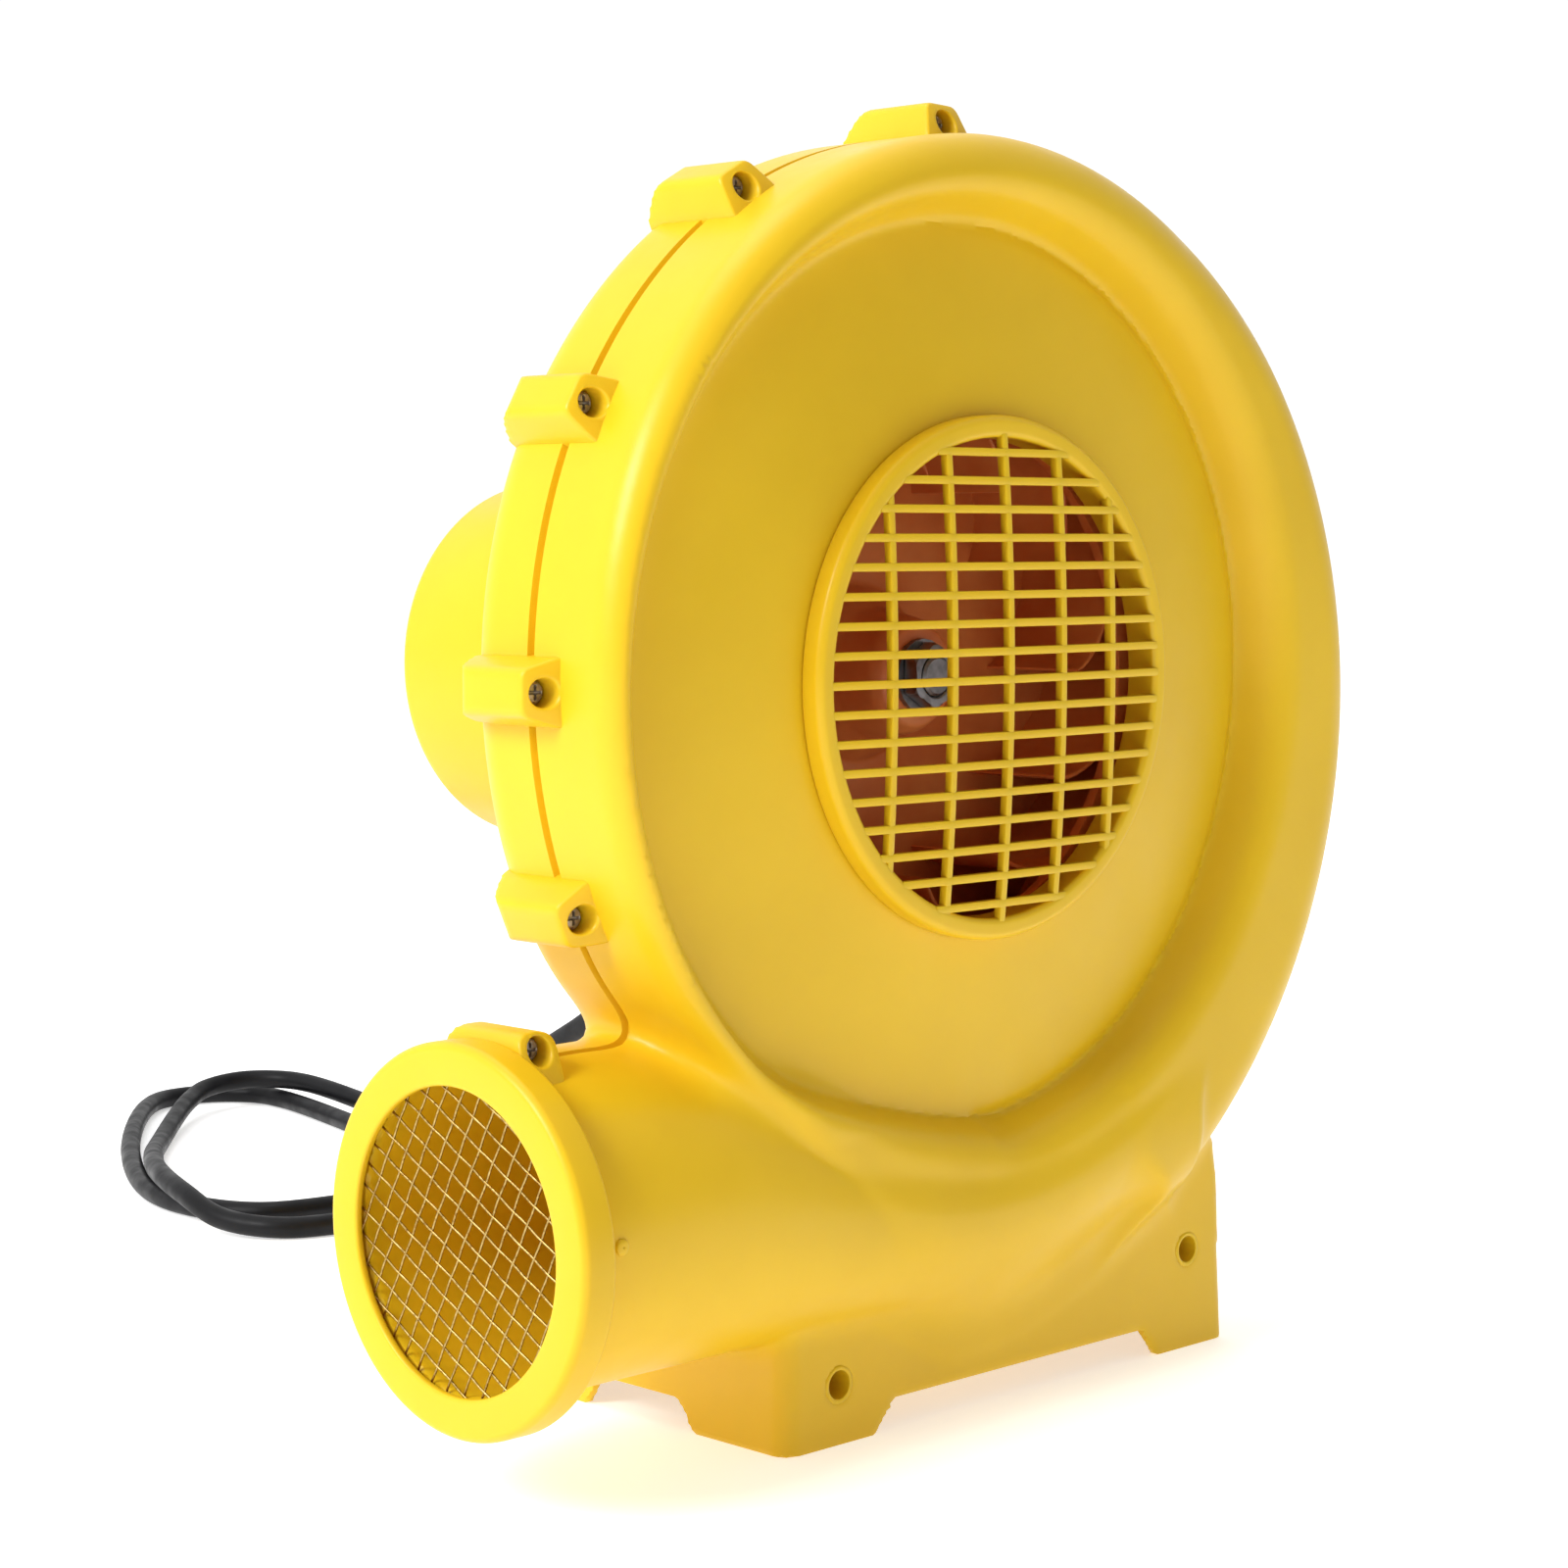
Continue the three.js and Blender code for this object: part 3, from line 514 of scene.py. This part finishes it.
def base_column(x, y, z):
    """The base's outline, with draft and a tighter corner on its right side."""
    right = BASE_HIGH[0] - BASE_DRAFT * (z - FLOOR)
    return box_field(x, y, BASE_LOW, (right, BASE_HIGH[1]), np.where(x > 32, 3.5, 6.0))


def wedge_field(x, z, corners):
    """Distance to a convex outline given anticlockwise."""
    field = np.full(np.broadcast(x, z).shape, -1e9)
    for (x0, z0), (x1, z1) in zip(corners, corners[1:] + corners[:1]):
        length = math.hypot(x1 - x0, z1 - z0)
        field = np.maximum(field, ((x - x0) * (z1 - z0) - (z - z0) * (x1 - x0)) / length)
    return field


def base_field(x, y, z):
    column = base_column(x, y, z)
    block = soft_max(column, z - BASE_TOP, 4)
    shoulder = soft_max(wedge_field(x, z, SHOULDER),
                        np.maximum(BASE_LOW[1] - y, y - SHOULDER_BACK), 3)
    return np.minimum(block, shoulder)


def base_fillet(x):
    """The fillet between base and scroll, tight under the duct and soft under the roll."""
    return 5 + 8 * ramped(x, -40, 10)


def recess_field(x, y, z):
    """Space under the skirt between the feet."""
    up = z - FLOOR
    across, along_y = (np.maximum(start + lean * up - v, v - end + lean * up)
                       for v, (start, end, lean) in ((x, GAP_ACROSS), (y, GAP_ALONG)))
    return np.maximum(z - (FLOOR + GAP_HIGH), np.minimum(across, along_y))


def casing_outside(x, y, z):
    """The casing's outside, without the web."""
    return soft_min(air_field(x, y, z), base_field(x, y, z), base_fillet(x))


def casing_field(x, y, z):
    """The whole casing with its wall, before it is parted."""
    air = air_field(x, y, z)
    base = base_field(x, y, z)
    web = np.minimum(wedge_field(x, z, WEB), wedge_field(x, z, DUCT_RAIL))
    web = soft_max(web, np.maximum(PARTING + 0.5 - y, y - WEB_BACK), 1.5)
    body = np.minimum(soft_min(air, base, base_fillet(x)), web)
    body = soft_max(body, FLOOR - z, 0.8)
    hollow = air + WALL
    bore = np.maximum(duct_field(x, y, z, DUCT_WALL), x - BORE_STOP)
    skirt = np.maximum(np.maximum(base_column(x, y, z) + WALL, z - BASE_TOP + WALL), -air)
    eye = np.maximum(np.hypot(x, z) - EYE_R, y - EYE_DEPTH)
    posts = wells = np.full(np.broadcast(x, y, z).shape, 1e3)
    for at_x, at_z in BASE_SCREWS:
        away = np.hypot(x - at_x, z - at_z)
        posts = np.minimum(posts, np.maximum(away - POST_R, y - POST_END))
        wells = np.minimum(wells, np.maximum(away - WELL_R, y - WELL_END))
    skirt = np.maximum(skirt, -posts)
    cut = np.minimum(np.minimum(hollow, bore), np.minimum(skirt, eye))
    cut = np.minimum(cut, wells)
    cut = np.minimum(cut, np.minimum(recess_field(x, y, z), x - DUCT_END))
    return np.maximum(body, -cut)


def field_gradient(field, p, step=0.25):
    columns = []
    for axis in range(3):
        ahead, behind = p.copy(), p.copy()
        ahead[:, axis] += step
        behind[:, axis] -= step
        columns.append((field(*ahead.T) - field(*behind.T)) / (2 * step))
    return np.stack(columns, 1)


def polygonise(field, low, high, pitch):
    """Surface nets over a grid, with the points drawn onto the field's zero surface."""
    axes = [np.arange(a, b + pitch, pitch) for a, b in zip(low, high)]
    values = np.empty([len(a) for a in axes], np.float32)
    for i, x in enumerate(axes[0]):
        values[i] = field(x, axes[1][:, None], axes[2][None, :])
    inside = values < 0
    corners = [(i, j, k) for i in (0, 1) for j in (0, 1) for k in (0, 1)]
    cells = np.array(values.shape) - 1

    def shifted(grid, offset):
        return grid[tuple(slice(o, o + c) for o, c in zip(offset, cells))]

    total = sum(shifted(inside, c).astype(np.int8) for c in corners)
    active = np.argwhere((total > 0) & (total < 8))
    number = np.full(cells, -1, np.int64)
    number[tuple(active.T)] = np.arange(len(active))
    at_corner = {c: values[tuple((active + c).T)] for c in corners}
    points, weights = np.zeros((len(active), 3)), np.zeros(len(active))
    for a in corners:
        for axis in range(3):
            if a[axis]:
                continue
            b = tuple(v + (n == axis) for n, v in enumerate(a))
            fa, fb = at_corner[a], at_corner[b]
            crossed = (fa < 0) != (fb < 0)
            t = np.where(crossed, fa / np.where(crossed, fa - fb, 1), 0)
            spot = np.array(a, float) + np.outer(t, np.eye(3)[axis])
            points += np.where(crossed[:, None], spot, 0)
            weights += crossed
    points = (active + points / weights[:, None]) * pitch + np.array([a[0] for a in axes])
    for _ in range(3):
        slope = field_gradient(field, points)
        length = np.maximum((slope ** 2).sum(1), 0.25)
        move = -(field(*points.T) / length)[:, None] * slope
        points += np.clip(move, -0.5 * pitch, 0.5 * pitch) * 0.8

    faces = []
    for axis in range(3):
        step, u, v = np.eye(3, dtype=int)[[axis, (axis + 1) % 3, (axis + 2) % 3]]
        span = [slice(1 if n != axis else 0, c) for n, c in enumerate(cells)]
        here = inside[tuple(span)]
        there = inside[tuple(slice(q.start + s, q.stop + s) for q, s in zip(span, step))]
        edges = np.argwhere(here != there)
        start = edges + [q.start for q in span]
        quads = np.stack([number[tuple((start + o).T)] for o in (-u - v, -v, 0 * u, -u)], 1)
        flip = ~here[tuple(edges.T)]
        quads[flip] = quads[flip][:, ::-1]
        faces.append(quads)
    return points, np.concatenate(faces)


def make_casing(pitch):
    """The front and rear shells, with the groove of the parting line between them."""
    points, quads = polygonise(casing_field, (-168.5, -4, FLOOR - 2), (202, 147, 166), pitch)
    mesh = bpy.data.meshes.new("casing")
    mesh.from_pydata(points.tolist(), [], quads.tolist())
    work = bmesh.new()
    work.from_mesh(mesh)
    bpy.data.meshes.remove(mesh)
    work.faces.ensure_lookup_table()
    for y in (PARTING - 1.5, PARTING - GROOVE, PARTING + GROOVE, PARTING + 1.5):
        near = [f for f in work.faces if abs(f.calc_center_median().y - PARTING) < 4]
        near += list({e for f in near for e in f.edges}) + list({v for f in near for v in f.verts})
        bmesh.ops.bisect_plane(work, geom=near, plane_co=(0, y, 0), plane_no=(0, 1, 0), dist=1e-4)
    band = [v for v in work.verts if abs(v.co.y - PARTING) < GROOVE + 0.05]
    spots = np.array([v.co for v in band])
    on_outside = np.abs(casing_outside(*spots.T)) < 0.8
    slope = field_gradient(casing_outside, spots)
    slope[:, 1] = 0
    slope /= np.maximum(np.linalg.norm(slope, axis=1), 1e-6)[:, None]
    for vert, sunk, way in zip(band, on_outside, slope):
        if sunk and vert.co.z > BASE_TOP - 2:
            vert.co -= Vector(way * GROOVE_DEPTH)
    for name, side in (("front_shell", -1), ("rear_shell", 1)):
        half = work.copy()
        geometry = half.verts[:] + half.edges[:] + half.faces[:]
        bmesh.ops.bisect_plane(half, geom=geometry, plane_co=(0, PARTING, 0),
                               plane_no=(0, side, 0), clear_inner=True, dist=1e-4)
        half.verts.index_update()
        spots = [v.co[:] for v in half.verts]
        faces = [[v.index for v in f.verts] for f in half.faces]
        ride(mesh_object(f"{name}_moulding", spots, faces, YELLOW, sharp=38), node=name)
        half.free()
    work.free()


make_casing(1.7)


# ---- Screw lugs ---------------------------------------------------------------------------
LUG_ANGLES = [204, 180, 150, 119, 88, 57, 26, -5, -36]
LUG_FRONT, LUG_BACK, LUG_OUT = 28.8, 60.0, 6.0
DUCT_LUG_PLACE = (-153.5, -95.5)
HEAD_FRONT, HEAD_R = 32.8, 3.3
LUG_SLANT = 0.4  # rise of the lug's front face towards the back, per millimetre outwards
# u is outwards from the casing, v along it.
LUG_OUTLINE = [(-9, 9.8), (-4, 9.6), (LUG_OUT, 6.2), (LUG_OUT, -6.2), (-4, -9.6), (-9, -9.8)]
DUCT_LUG_OUTLINE = [(-10.5, 6.6), (4.9, 6.5), (4.9, -6.5), (-10.5, -6.6)]


def outline_round(corners, radius, count):
    """A closed outline with rounded corners, as count points evenly spaced along it."""
    smooth = rounded(corners, radius, 6)
    loop = np.vstack([smooth, smooth[:1]])
    far = np.append(0, np.cumsum(np.linalg.norm(np.diff(loop, axis=0), axis=1)))
    at = np.linspace(0, far[-1], count, endpoint=False)
    return np.stack([np.interp(at, far, loop[:, i]) for i in (0, 1)], 1)


def lug_parts(center, angle, corners, radius):
    """A lug round a sunk screw: u is outwards from the casing, v along it."""
    count = 72
    outline = outline_round(corners, radius, count)
    turn = np.arctan2(outline[:, 1], outline[:, 0])
    outline = np.roll(outline, -int(np.argmax(turn)), 0)
    turn = np.sort(turn)[::-1]
    hole = np.stack([np.cos(turn), np.sin(turn)], 1)
    rings = [(hole * 3.95, LUG_FRONT + 7.4, 0), (hole * 3.95, LUG_FRONT + 0.7, LUG_SLANT),
             (hole * 4.15, LUG_FRONT + 0.1, LUG_SLANT), (hole * 4.5, LUG_FRONT - 0.15, LUG_SLANT),
             (hole * 5.1, LUG_FRONT, LUG_SLANT), (outline * 0.9, LUG_FRONT, LUG_SLANT),
             (outline * 0.96, LUG_FRONT + 0.2, LUG_SLANT),
             (outline * 0.99, LUG_FRONT + 0.8, LUG_SLANT),
             (outline, LUG_FRONT + 2.0, LUG_SLANT), (outline, LUG_BACK - 6, 0)]
    for t in np.linspace(0.15, 1, 6):
        lower = outline.copy()
        lower[:, 0] = np.minimum(lower[:, 0], LUG_OUT - 9.5 * t ** 2.2)
        rings.append((lower * [1, 1 - 0.06 * t], LUG_BACK - 6 + 8.5 * t, 0))
    out, side = (math.cos(angle), math.sin(angle)), (-math.sin(angle), math.cos(angle))
    made = [[(center[0] + u * out[0] + v * side[0], y + slant * u,
              center[1] + u * out[1] + v * side[1]) for u, v in ring] for ring, y, slant in rings]
    return skin(made)


def cross_head(center):
    """A pan head with a cross recess, looking towards -Y."""
    angles = [2 * math.pi * i / 48 for i in range(48)]
    cross = []
    for a in angles:
        near = min(a % (math.pi / 2), math.pi / 2 - a % (math.pi / 2))
        cross.append(2.1 if near < 0.22 else (0.75 if near > 0.5 else 2.1 - (near - 0.22) * 4.8))
    rings = []
    for outline, size, y in (
            (cross, 0.5, 1.6), (cross, 0.9, 0.9), (cross, 1.0, 0.12), (cross, 1.12, 0.0),
            (None, 0.72, 0.05), (None, 0.88, 0.35), (None, 0.97, 0.9), (None, 1.0, 1.6),
            (None, 1.0, 2.3)):
        rings.append([(center[0] + r * size * math.cos(a), HEAD_FRONT + y,
                       center[1] + r * size * math.sin(a))
                      for a, r in zip(angles, outline or [HEAD_R] * len(angles))])
    return skin(rings[::-1])


def make_lugs():
    places = []
    for degrees in LUG_ANGLES:
        angle = math.radians(degrees)
        r = float(scroll_radius(angle)) + 4
        places.append(((r * math.cos(angle), r * math.sin(angle)), angle, LUG_OUTLINE, 2.4))
    places.append((DUCT_LUG_PLACE, math.pi / 2, DUCT_LUG_OUTLINE, 4.5))
    for i, (center, angle, outline, radius) in enumerate(places, 1):
        shape = lug_parts(center, angle, outline, radius)
        lug = mesh_object(f"screw_lug_{i}", *shape, YELLOW, sharp=50)
        ride(lug)
        head = mesh_object(f"case_screw_{i}_head", *cross_head(center), ZINC, sharp=45)
        ride(head, node=f"case_screw_{i}")
    for i, center in enumerate(BASE_SCREWS, 1):
        rim = turned([(WELL_R, 21.5), (WELL_R, 19.95), (4.9, 19.7), (5.6, 19.95), (6.2, 21.5)], 48)
        points = np.asarray(rim[0]) + [center[0], 0, center[1]]
        ride(mesh_object(f"base_hole_rim_{i}", points, rim[1], YELLOW, sharp=50))
        head = mesh_object(f"base_screw_{i}_head", *cross_head(center), ZINC, sharp=45)
        ride(head, node=f"base_screw_{i}")


make_lugs()


def make_nub():
    """The small moulding mark on the front of the duct."""
    points, faces = turned(rounded([(0.01, -1.9), (2.2, -1.6), (2.4, 1.5), (0.01, 1.5)], 0.7), 32)
    ride(mesh_object("duct_nub", np.asarray(points) + [-151, 0, -144], faces, YELLOW, sharp=50))


make_nub()


# ---- Intake grille ------------------------------------------------------------------------
GRILLE_R = 70.0
DOME = 3.4
SLAT_STEP, BAR_STEP, REACH = 8.2, 23.9, 71.5


def dome_y(x, z):
    return -DOME * (1 - (x * x + z * z) / (GRILLE_R + 1.0) ** 2)


def strip(fixed, half_width, axis, depth, lift=0.0):
    """A domed slat (axis 0) or bar (axis 2) with softened edges, from side to side."""
    section = rounded([(-half_width, 0), (half_width, 0), (half_width, depth),
                       (-half_width, depth)], 0.55, 2)
    ends = math.sqrt(max(REACH ** 2 - fixed ** 2, 1))
    rings = []
    for s in np.linspace(-ends, ends, 42):
        x, z = (s, fixed) if axis == 0 else (fixed, s)
        y = dome_y(x, z) + lift
        rings.append([(x, y + d, z + w) if axis == 0 else (x + w, y + d, z) for w, d in section])
    return skin(rings)


def make_grille():
    ring = turned(rounded([(70, 11), (70, 1.0), (71.2, 0.0), (75.0, 0.0), (76.5, 1.6),
                           (76.5, 7.3), (73.2, 7.3), (73.2, 11)], 0.9, 4), 192)
    slats = [strip(SLAT_STEP * j, 1.2, 0, 2.5) for j in range(-8, 9)]
    bars = [strip(BAR_STEP * i, 1.25, 2, 2.7, 0.15) for i in range(-2, 3)]
    grille = mesh_object("intake_grille_moulding", *together(ring, *slats, *bars), YELLOW, sharp=50)
    ride(grille, node="intake_grille")


make_grille()


# ---- Outlet ring and screen ---------------------------------------------------------------
def facing_left(shape):
    """Turns a shape made about the fan axis into one about the duct's axis."""
    points, faces = shape
    x, y, z = np.asarray(points).T
    return np.stack([y, DUCT_Y + x, DUCT_Z + z], 1), faces


MESH = 6.35  # spacing of the screen's wires
WIRE_R, CRIMP = 0.34, 0.15  # CRIMP is how far a wire bends over the ones that it crosses
SCREEN_X, SCREEN_R, SCREEN_TURN = -167.6, 44.6, 28


def make_outlet():
    profile = rounded([(42, -171), (52.6, -171), (54, -169.4), (54, -160.6), (53, -159.5),
                       (45.4, -159.5), (45.4, -168.4), (42, -168.4)], 1.1, 4)
    ring = mesh_object("outlet_ring_moulding", *facing_left(turned(profile, 192)), YELLOW, sharp=50)
    ride(ring, node="outlet_ring")
    wires = []
    for family in (0, 1):
        a = math.radians(SCREEN_TURN) + family * math.pi / 2
        forward = np.array([0, math.cos(a), math.sin(a)])
        across = np.array([0, -math.sin(a), math.cos(a)])
        for i in range(-6, 7):
            offset = i * MESH + 1.2
            half = math.sqrt(max(SCREEN_R ** 2 - offset ** 2, 4))
            steps = np.linspace(-half, half, 57)
            wave = CRIMP * np.cos(math.pi * steps / MESH + math.pi * (i + family))
            path = (np.array([[SCREEN_X, DUCT_Y, DUCT_Z]]) + np.outer(steps, forward)
                    + offset * across + np.outer(wave, [1, 0, 0]))
            wires.append(skin(along(path, circle(WIRE_R, 8))))
    screen = mesh_object("outlet_wire_mesh", *together(*wires), WIRE)
    ride(screen, node="outlet_screen")


make_outlet()


# ---- Motor cover --------------------------------------------------------------------------
def pierced_disc(radii, angles, solid, y0, y1):
    """A flat disc from y0 to y1 over a polar grid, open where solid is False."""
    rows, count = len(radii), len(angles)
    points = [(r * math.cos(a), y, r * math.sin(a))
              for y in (y1, y0) for r in radii for a in angles]
    faces = []

    def at(layer, i, j):
        return layer * rows * count + i * count + j % count

    for i in range(rows - 1):
        for j in range(count):
            if not solid[i, j]:
                continue
            faces.append((at(0, i, j), at(0, i, j + 1), at(0, i + 1, j + 1), at(0, i + 1, j)))
            faces.append((at(1, i, j), at(1, i + 1, j), at(1, i + 1, j + 1), at(1, i, j + 1)))
            borders = (((i, j), (i, j + 1), i == 0 or not solid[i - 1, j]),
                       ((i + 1, j + 1), (i + 1, j), i == rows - 2 or not solid[i + 1, j]),
                       ((i + 1, j), (i, j), not solid[i, j - 1]),
                       ((i, j + 1), (i + 1, j + 1), not solid[i, (j + 1) % count]))
            for a, b, bare in borders:
                if bare:
                    faces.append((at(0, *b), at(0, *a), at(1, *a), at(1, *b)))
    return points, faces


VENTS = 10
COVER_R, COVER_END, COVER_CORNER, COVER_WALL = 59, 209, 4.5, 2.5


def make_motor_cover():
    """A round cup whose end has radial vent slots."""
    inner = COVER_END - COVER_WALL
    corner = [(COVER_R - COVER_CORNER + COVER_CORNER * math.cos(t),
               COVER_END - COVER_CORNER + COVER_CORNER * math.sin(t))
              for t in np.linspace(0, math.pi / 2, 9)]
    profile = [(57, 69.3), (58.6, 69.4), (COVER_R, 69.9), *corner, (43.9, COVER_END),
               (43.9, inner), (53, inner), (55.5, 205.6), (56.5, 203), (56.5, 69.3)]
    fine = np.radians(np.arange(0, 360, 1.8))
    radii = [0.5, 12, 20, 21, 32, 43, 44]
    middle = [(a + b) / 2 for a, b in zip(radii, radii[1:])]
    sector = (np.degrees(fine) + 0.9 + 180 / VENTS) % (360 / VENTS) - 180 / VENTS
    solid = np.array([[not (21 < r < 43 and abs(s) < 4.4) for s in sector] for r in middle])
    cover = mesh_object("motor_cover_moulding", *together(
        turned(profile, 200), pierced_disc(radii, fine, solid, inner, COVER_END)),
        YELLOW, sharp=40)
    ride(cover, node="motor_cover")


make_motor_cover()


# ---- Fan wheel ----------------------------------------------------------------------------
WHEEL_EYE_R, WHEEL_R, BLADES, SWEEP = 60.0, 106.0, 11, 52.0


def wheel_blade(start):
    """A thin wall from the eye to the rim, swept back and rounded at its free edges."""
    rings = []
    section = rounded([(-1, 22.4), (1, 22.4), (1, 61), (-1, 61)], 0.9, 3)
    for t in np.linspace(0, 1, 17):
        r = WHEEL_EYE_R + (WHEEL_R - 2 - WHEEL_EYE_R) * t
        a = math.radians(start + SWEEP * t ** 1.4)
        thin = 0.35 + 0.65 * min(1, t * 9, (1 - t) * 9 + 0.2)
        side = (-math.sin(a), math.cos(a))
        rings.append([(r * math.cos(a) + w * thin * side[0], y,
                       r * math.sin(a) + w * thin * side[1]) for w, y in section])
    return skin(rings)


def make_wheel():
    back = rounded([(6.4, 34), (15, 34), (17.5, 38), (20, 50), (27, 60), (106, 60), (106, 62.4),
                    (6.4, 62.4)], 1.4, 3)
    blades = [wheel_blade(360 / BLADES * i) for i in range(BLADES)]
    wheel = mesh_object("fan_wheel", *together(turned(back, 144), *blades), WHEEL, sharp=45)
    ride(wheel, "rotor", "impeller")
    ring = rounded([(75, 18.4), (106, 20.2), (106, 22.0), (75, 22.0)], 0.7, 2)
    shroud = mesh_object("fan_wheel_shroud", *turned(ring, 144), WHEEL, sharp=45)
    ride(shroud, "rotor", "impeller_shroud")
    nut = mesh_object("fan_nut", *hexagon_nut(10.0, 26.6, 31.6, 6.3), STEEL, sharp=30)
    ride(nut, "rotor", "impeller_nut")


def hexagon_nut(radius, front, back, hole):
    """A hexagon nut with its corners turned off at the front."""
    count = 72
    rings = []
    for limit, y in ((hole, back), (hole, front + 0.4), (hole + 0.5, front), (8.6, front),
                     (9.3, front + 0.25), (radius, front + 0.9), (radius, back)):
        ring = []
        for i in range(count):
            a = 2 * math.pi * i / count
            from_flat = (a + math.pi / 6) % (math.pi / 3) - math.pi / 6
            r = min(limit, radius * math.cos(math.pi / 6) / math.cos(from_flat))
            ring.append((r * math.cos(a), y, r * math.sin(a)))
        rings.append(ring)
    return skin(rings, wrap=True)


def wheel_plastic():
    material, tree, principled = shader("wheel_plastic", srgb("e07c38"), 0.42)
    cloud = noise(tree, 30, 4)
    tree.links.new(ramp(tree, cloud, (0.3, srgb("cf6428")), (0.7, srgb("e88a48"))),
                   principled.inputs["Base Color"])
    tree.links.new(remap(tree, noise(tree, 80, 4), 0.35, 0.55, 0.3, 0.7),
                   principled.inputs["Roughness"])
    bumped(tree, principled, (noise(tree, 700, 2), 0.1, 0.0002))
    return material


WHEEL = wheel_plastic()
make_wheel()


# ---- Parts that keep their CAD shape ------------------------------------------------------
KEPT = {
    STEEL: ["impeller_washer", "motor_shaft", "front_bearing", "rear_bearing", "capacitor_clip"],
    ZINC: [f"cover_screw_{i}" for i in (1, 2, 3)] + [f"motor_bolt_{i}" for i in (1, 2, 3, 4)],
    CASTING: ["motor_front_bell", "motor_rear_bell"],
    LAMINATION: ["stator_core", "rotor_core"],
    COPPER: ["front_winding", "rear_winding"],
    RUBBER: ["motor_lead", "cooling_fan"],
}
for look, names in KEPT.items():
    for name in names:
        paint(name, look)


def can_plastic():
    material, tree, principled = shader("capacitor_can", srgb("d8d8d2"), 0.4)
    tree.links.new(remap(tree, noise(tree, 90, 4), 0.35, 0.5, 0.3, 0.7),
                   principled.inputs["Roughness"])
    bumped(tree, principled, (noise(tree, 600, 2), 0.08, 0.0002))
    return material


paint("run_capacitor", can_plastic())


# ---- Floor and light ----------------------------------------------------------------------
def make_stage():
    material, _, principled = shader("pale_floor", (0.88, 0.88, 0.88), 0.7)
    principled.inputs["Emission Color"].default_value = (1, 1, 1, 1)
    principled.inputs["Emission Strength"].default_value = 0.5
    mesh = bpy.data.meshes.new("floor")
    size = 6.0
    mesh.from_pydata([(-size, -size, 0), (size, -size, 0), (size, size, 0), (-size, size, 0)],
                     [], [(0, 1, 2, 3)])
    floor = bpy.data.objects.new("floor", mesh)
    scene.collection.objects.link(floor)
    mesh.materials.append(material)


def area_light(name, spot, target, size, power, color=(1, 1, 1)):
    data = bpy.data.lights.new(name, "AREA")
    data.shape, data.size, data.energy, data.color = "DISK", size, power, color
    light = bpy.data.objects.new(name, data)
    light.location = spot
    light.rotation_mode = "QUATERNION"
    light.rotation_quaternion = (Vector(target) - Vector(spot)).to_track_quat("-Z", "Y")
    scene.collection.objects.link(light)


def make_light():
    world = bpy.data.worlds.new("studio")
    scene.world = world
    world.use_nodes = True
    background = world.node_tree.nodes["Background"]
    background.inputs["Color"].default_value = (1, 1, 1, 1)
    tree = world.node_tree
    towards = node(tree, "ShaderNodeTexCoord").outputs["Generated"]
    behind = node(tree, "ShaderNodeSeparateXYZ", {0: towards}).outputs["Y"]
    tree.links.new(remap(tree, behind, 0.34, 1.05, -0.6, 0.45), background.inputs["Strength"])
    area_light("key", (-2.0, 0.05, 1.5), (0, 0, 0.2), 1.0, 45)
    area_light("top", (-0.2, 0.3, 2.4), (0, 0, 0.2), 1.4, 11)


make_stage()
make_light()
scene.view_settings.view_transform = "Standard"
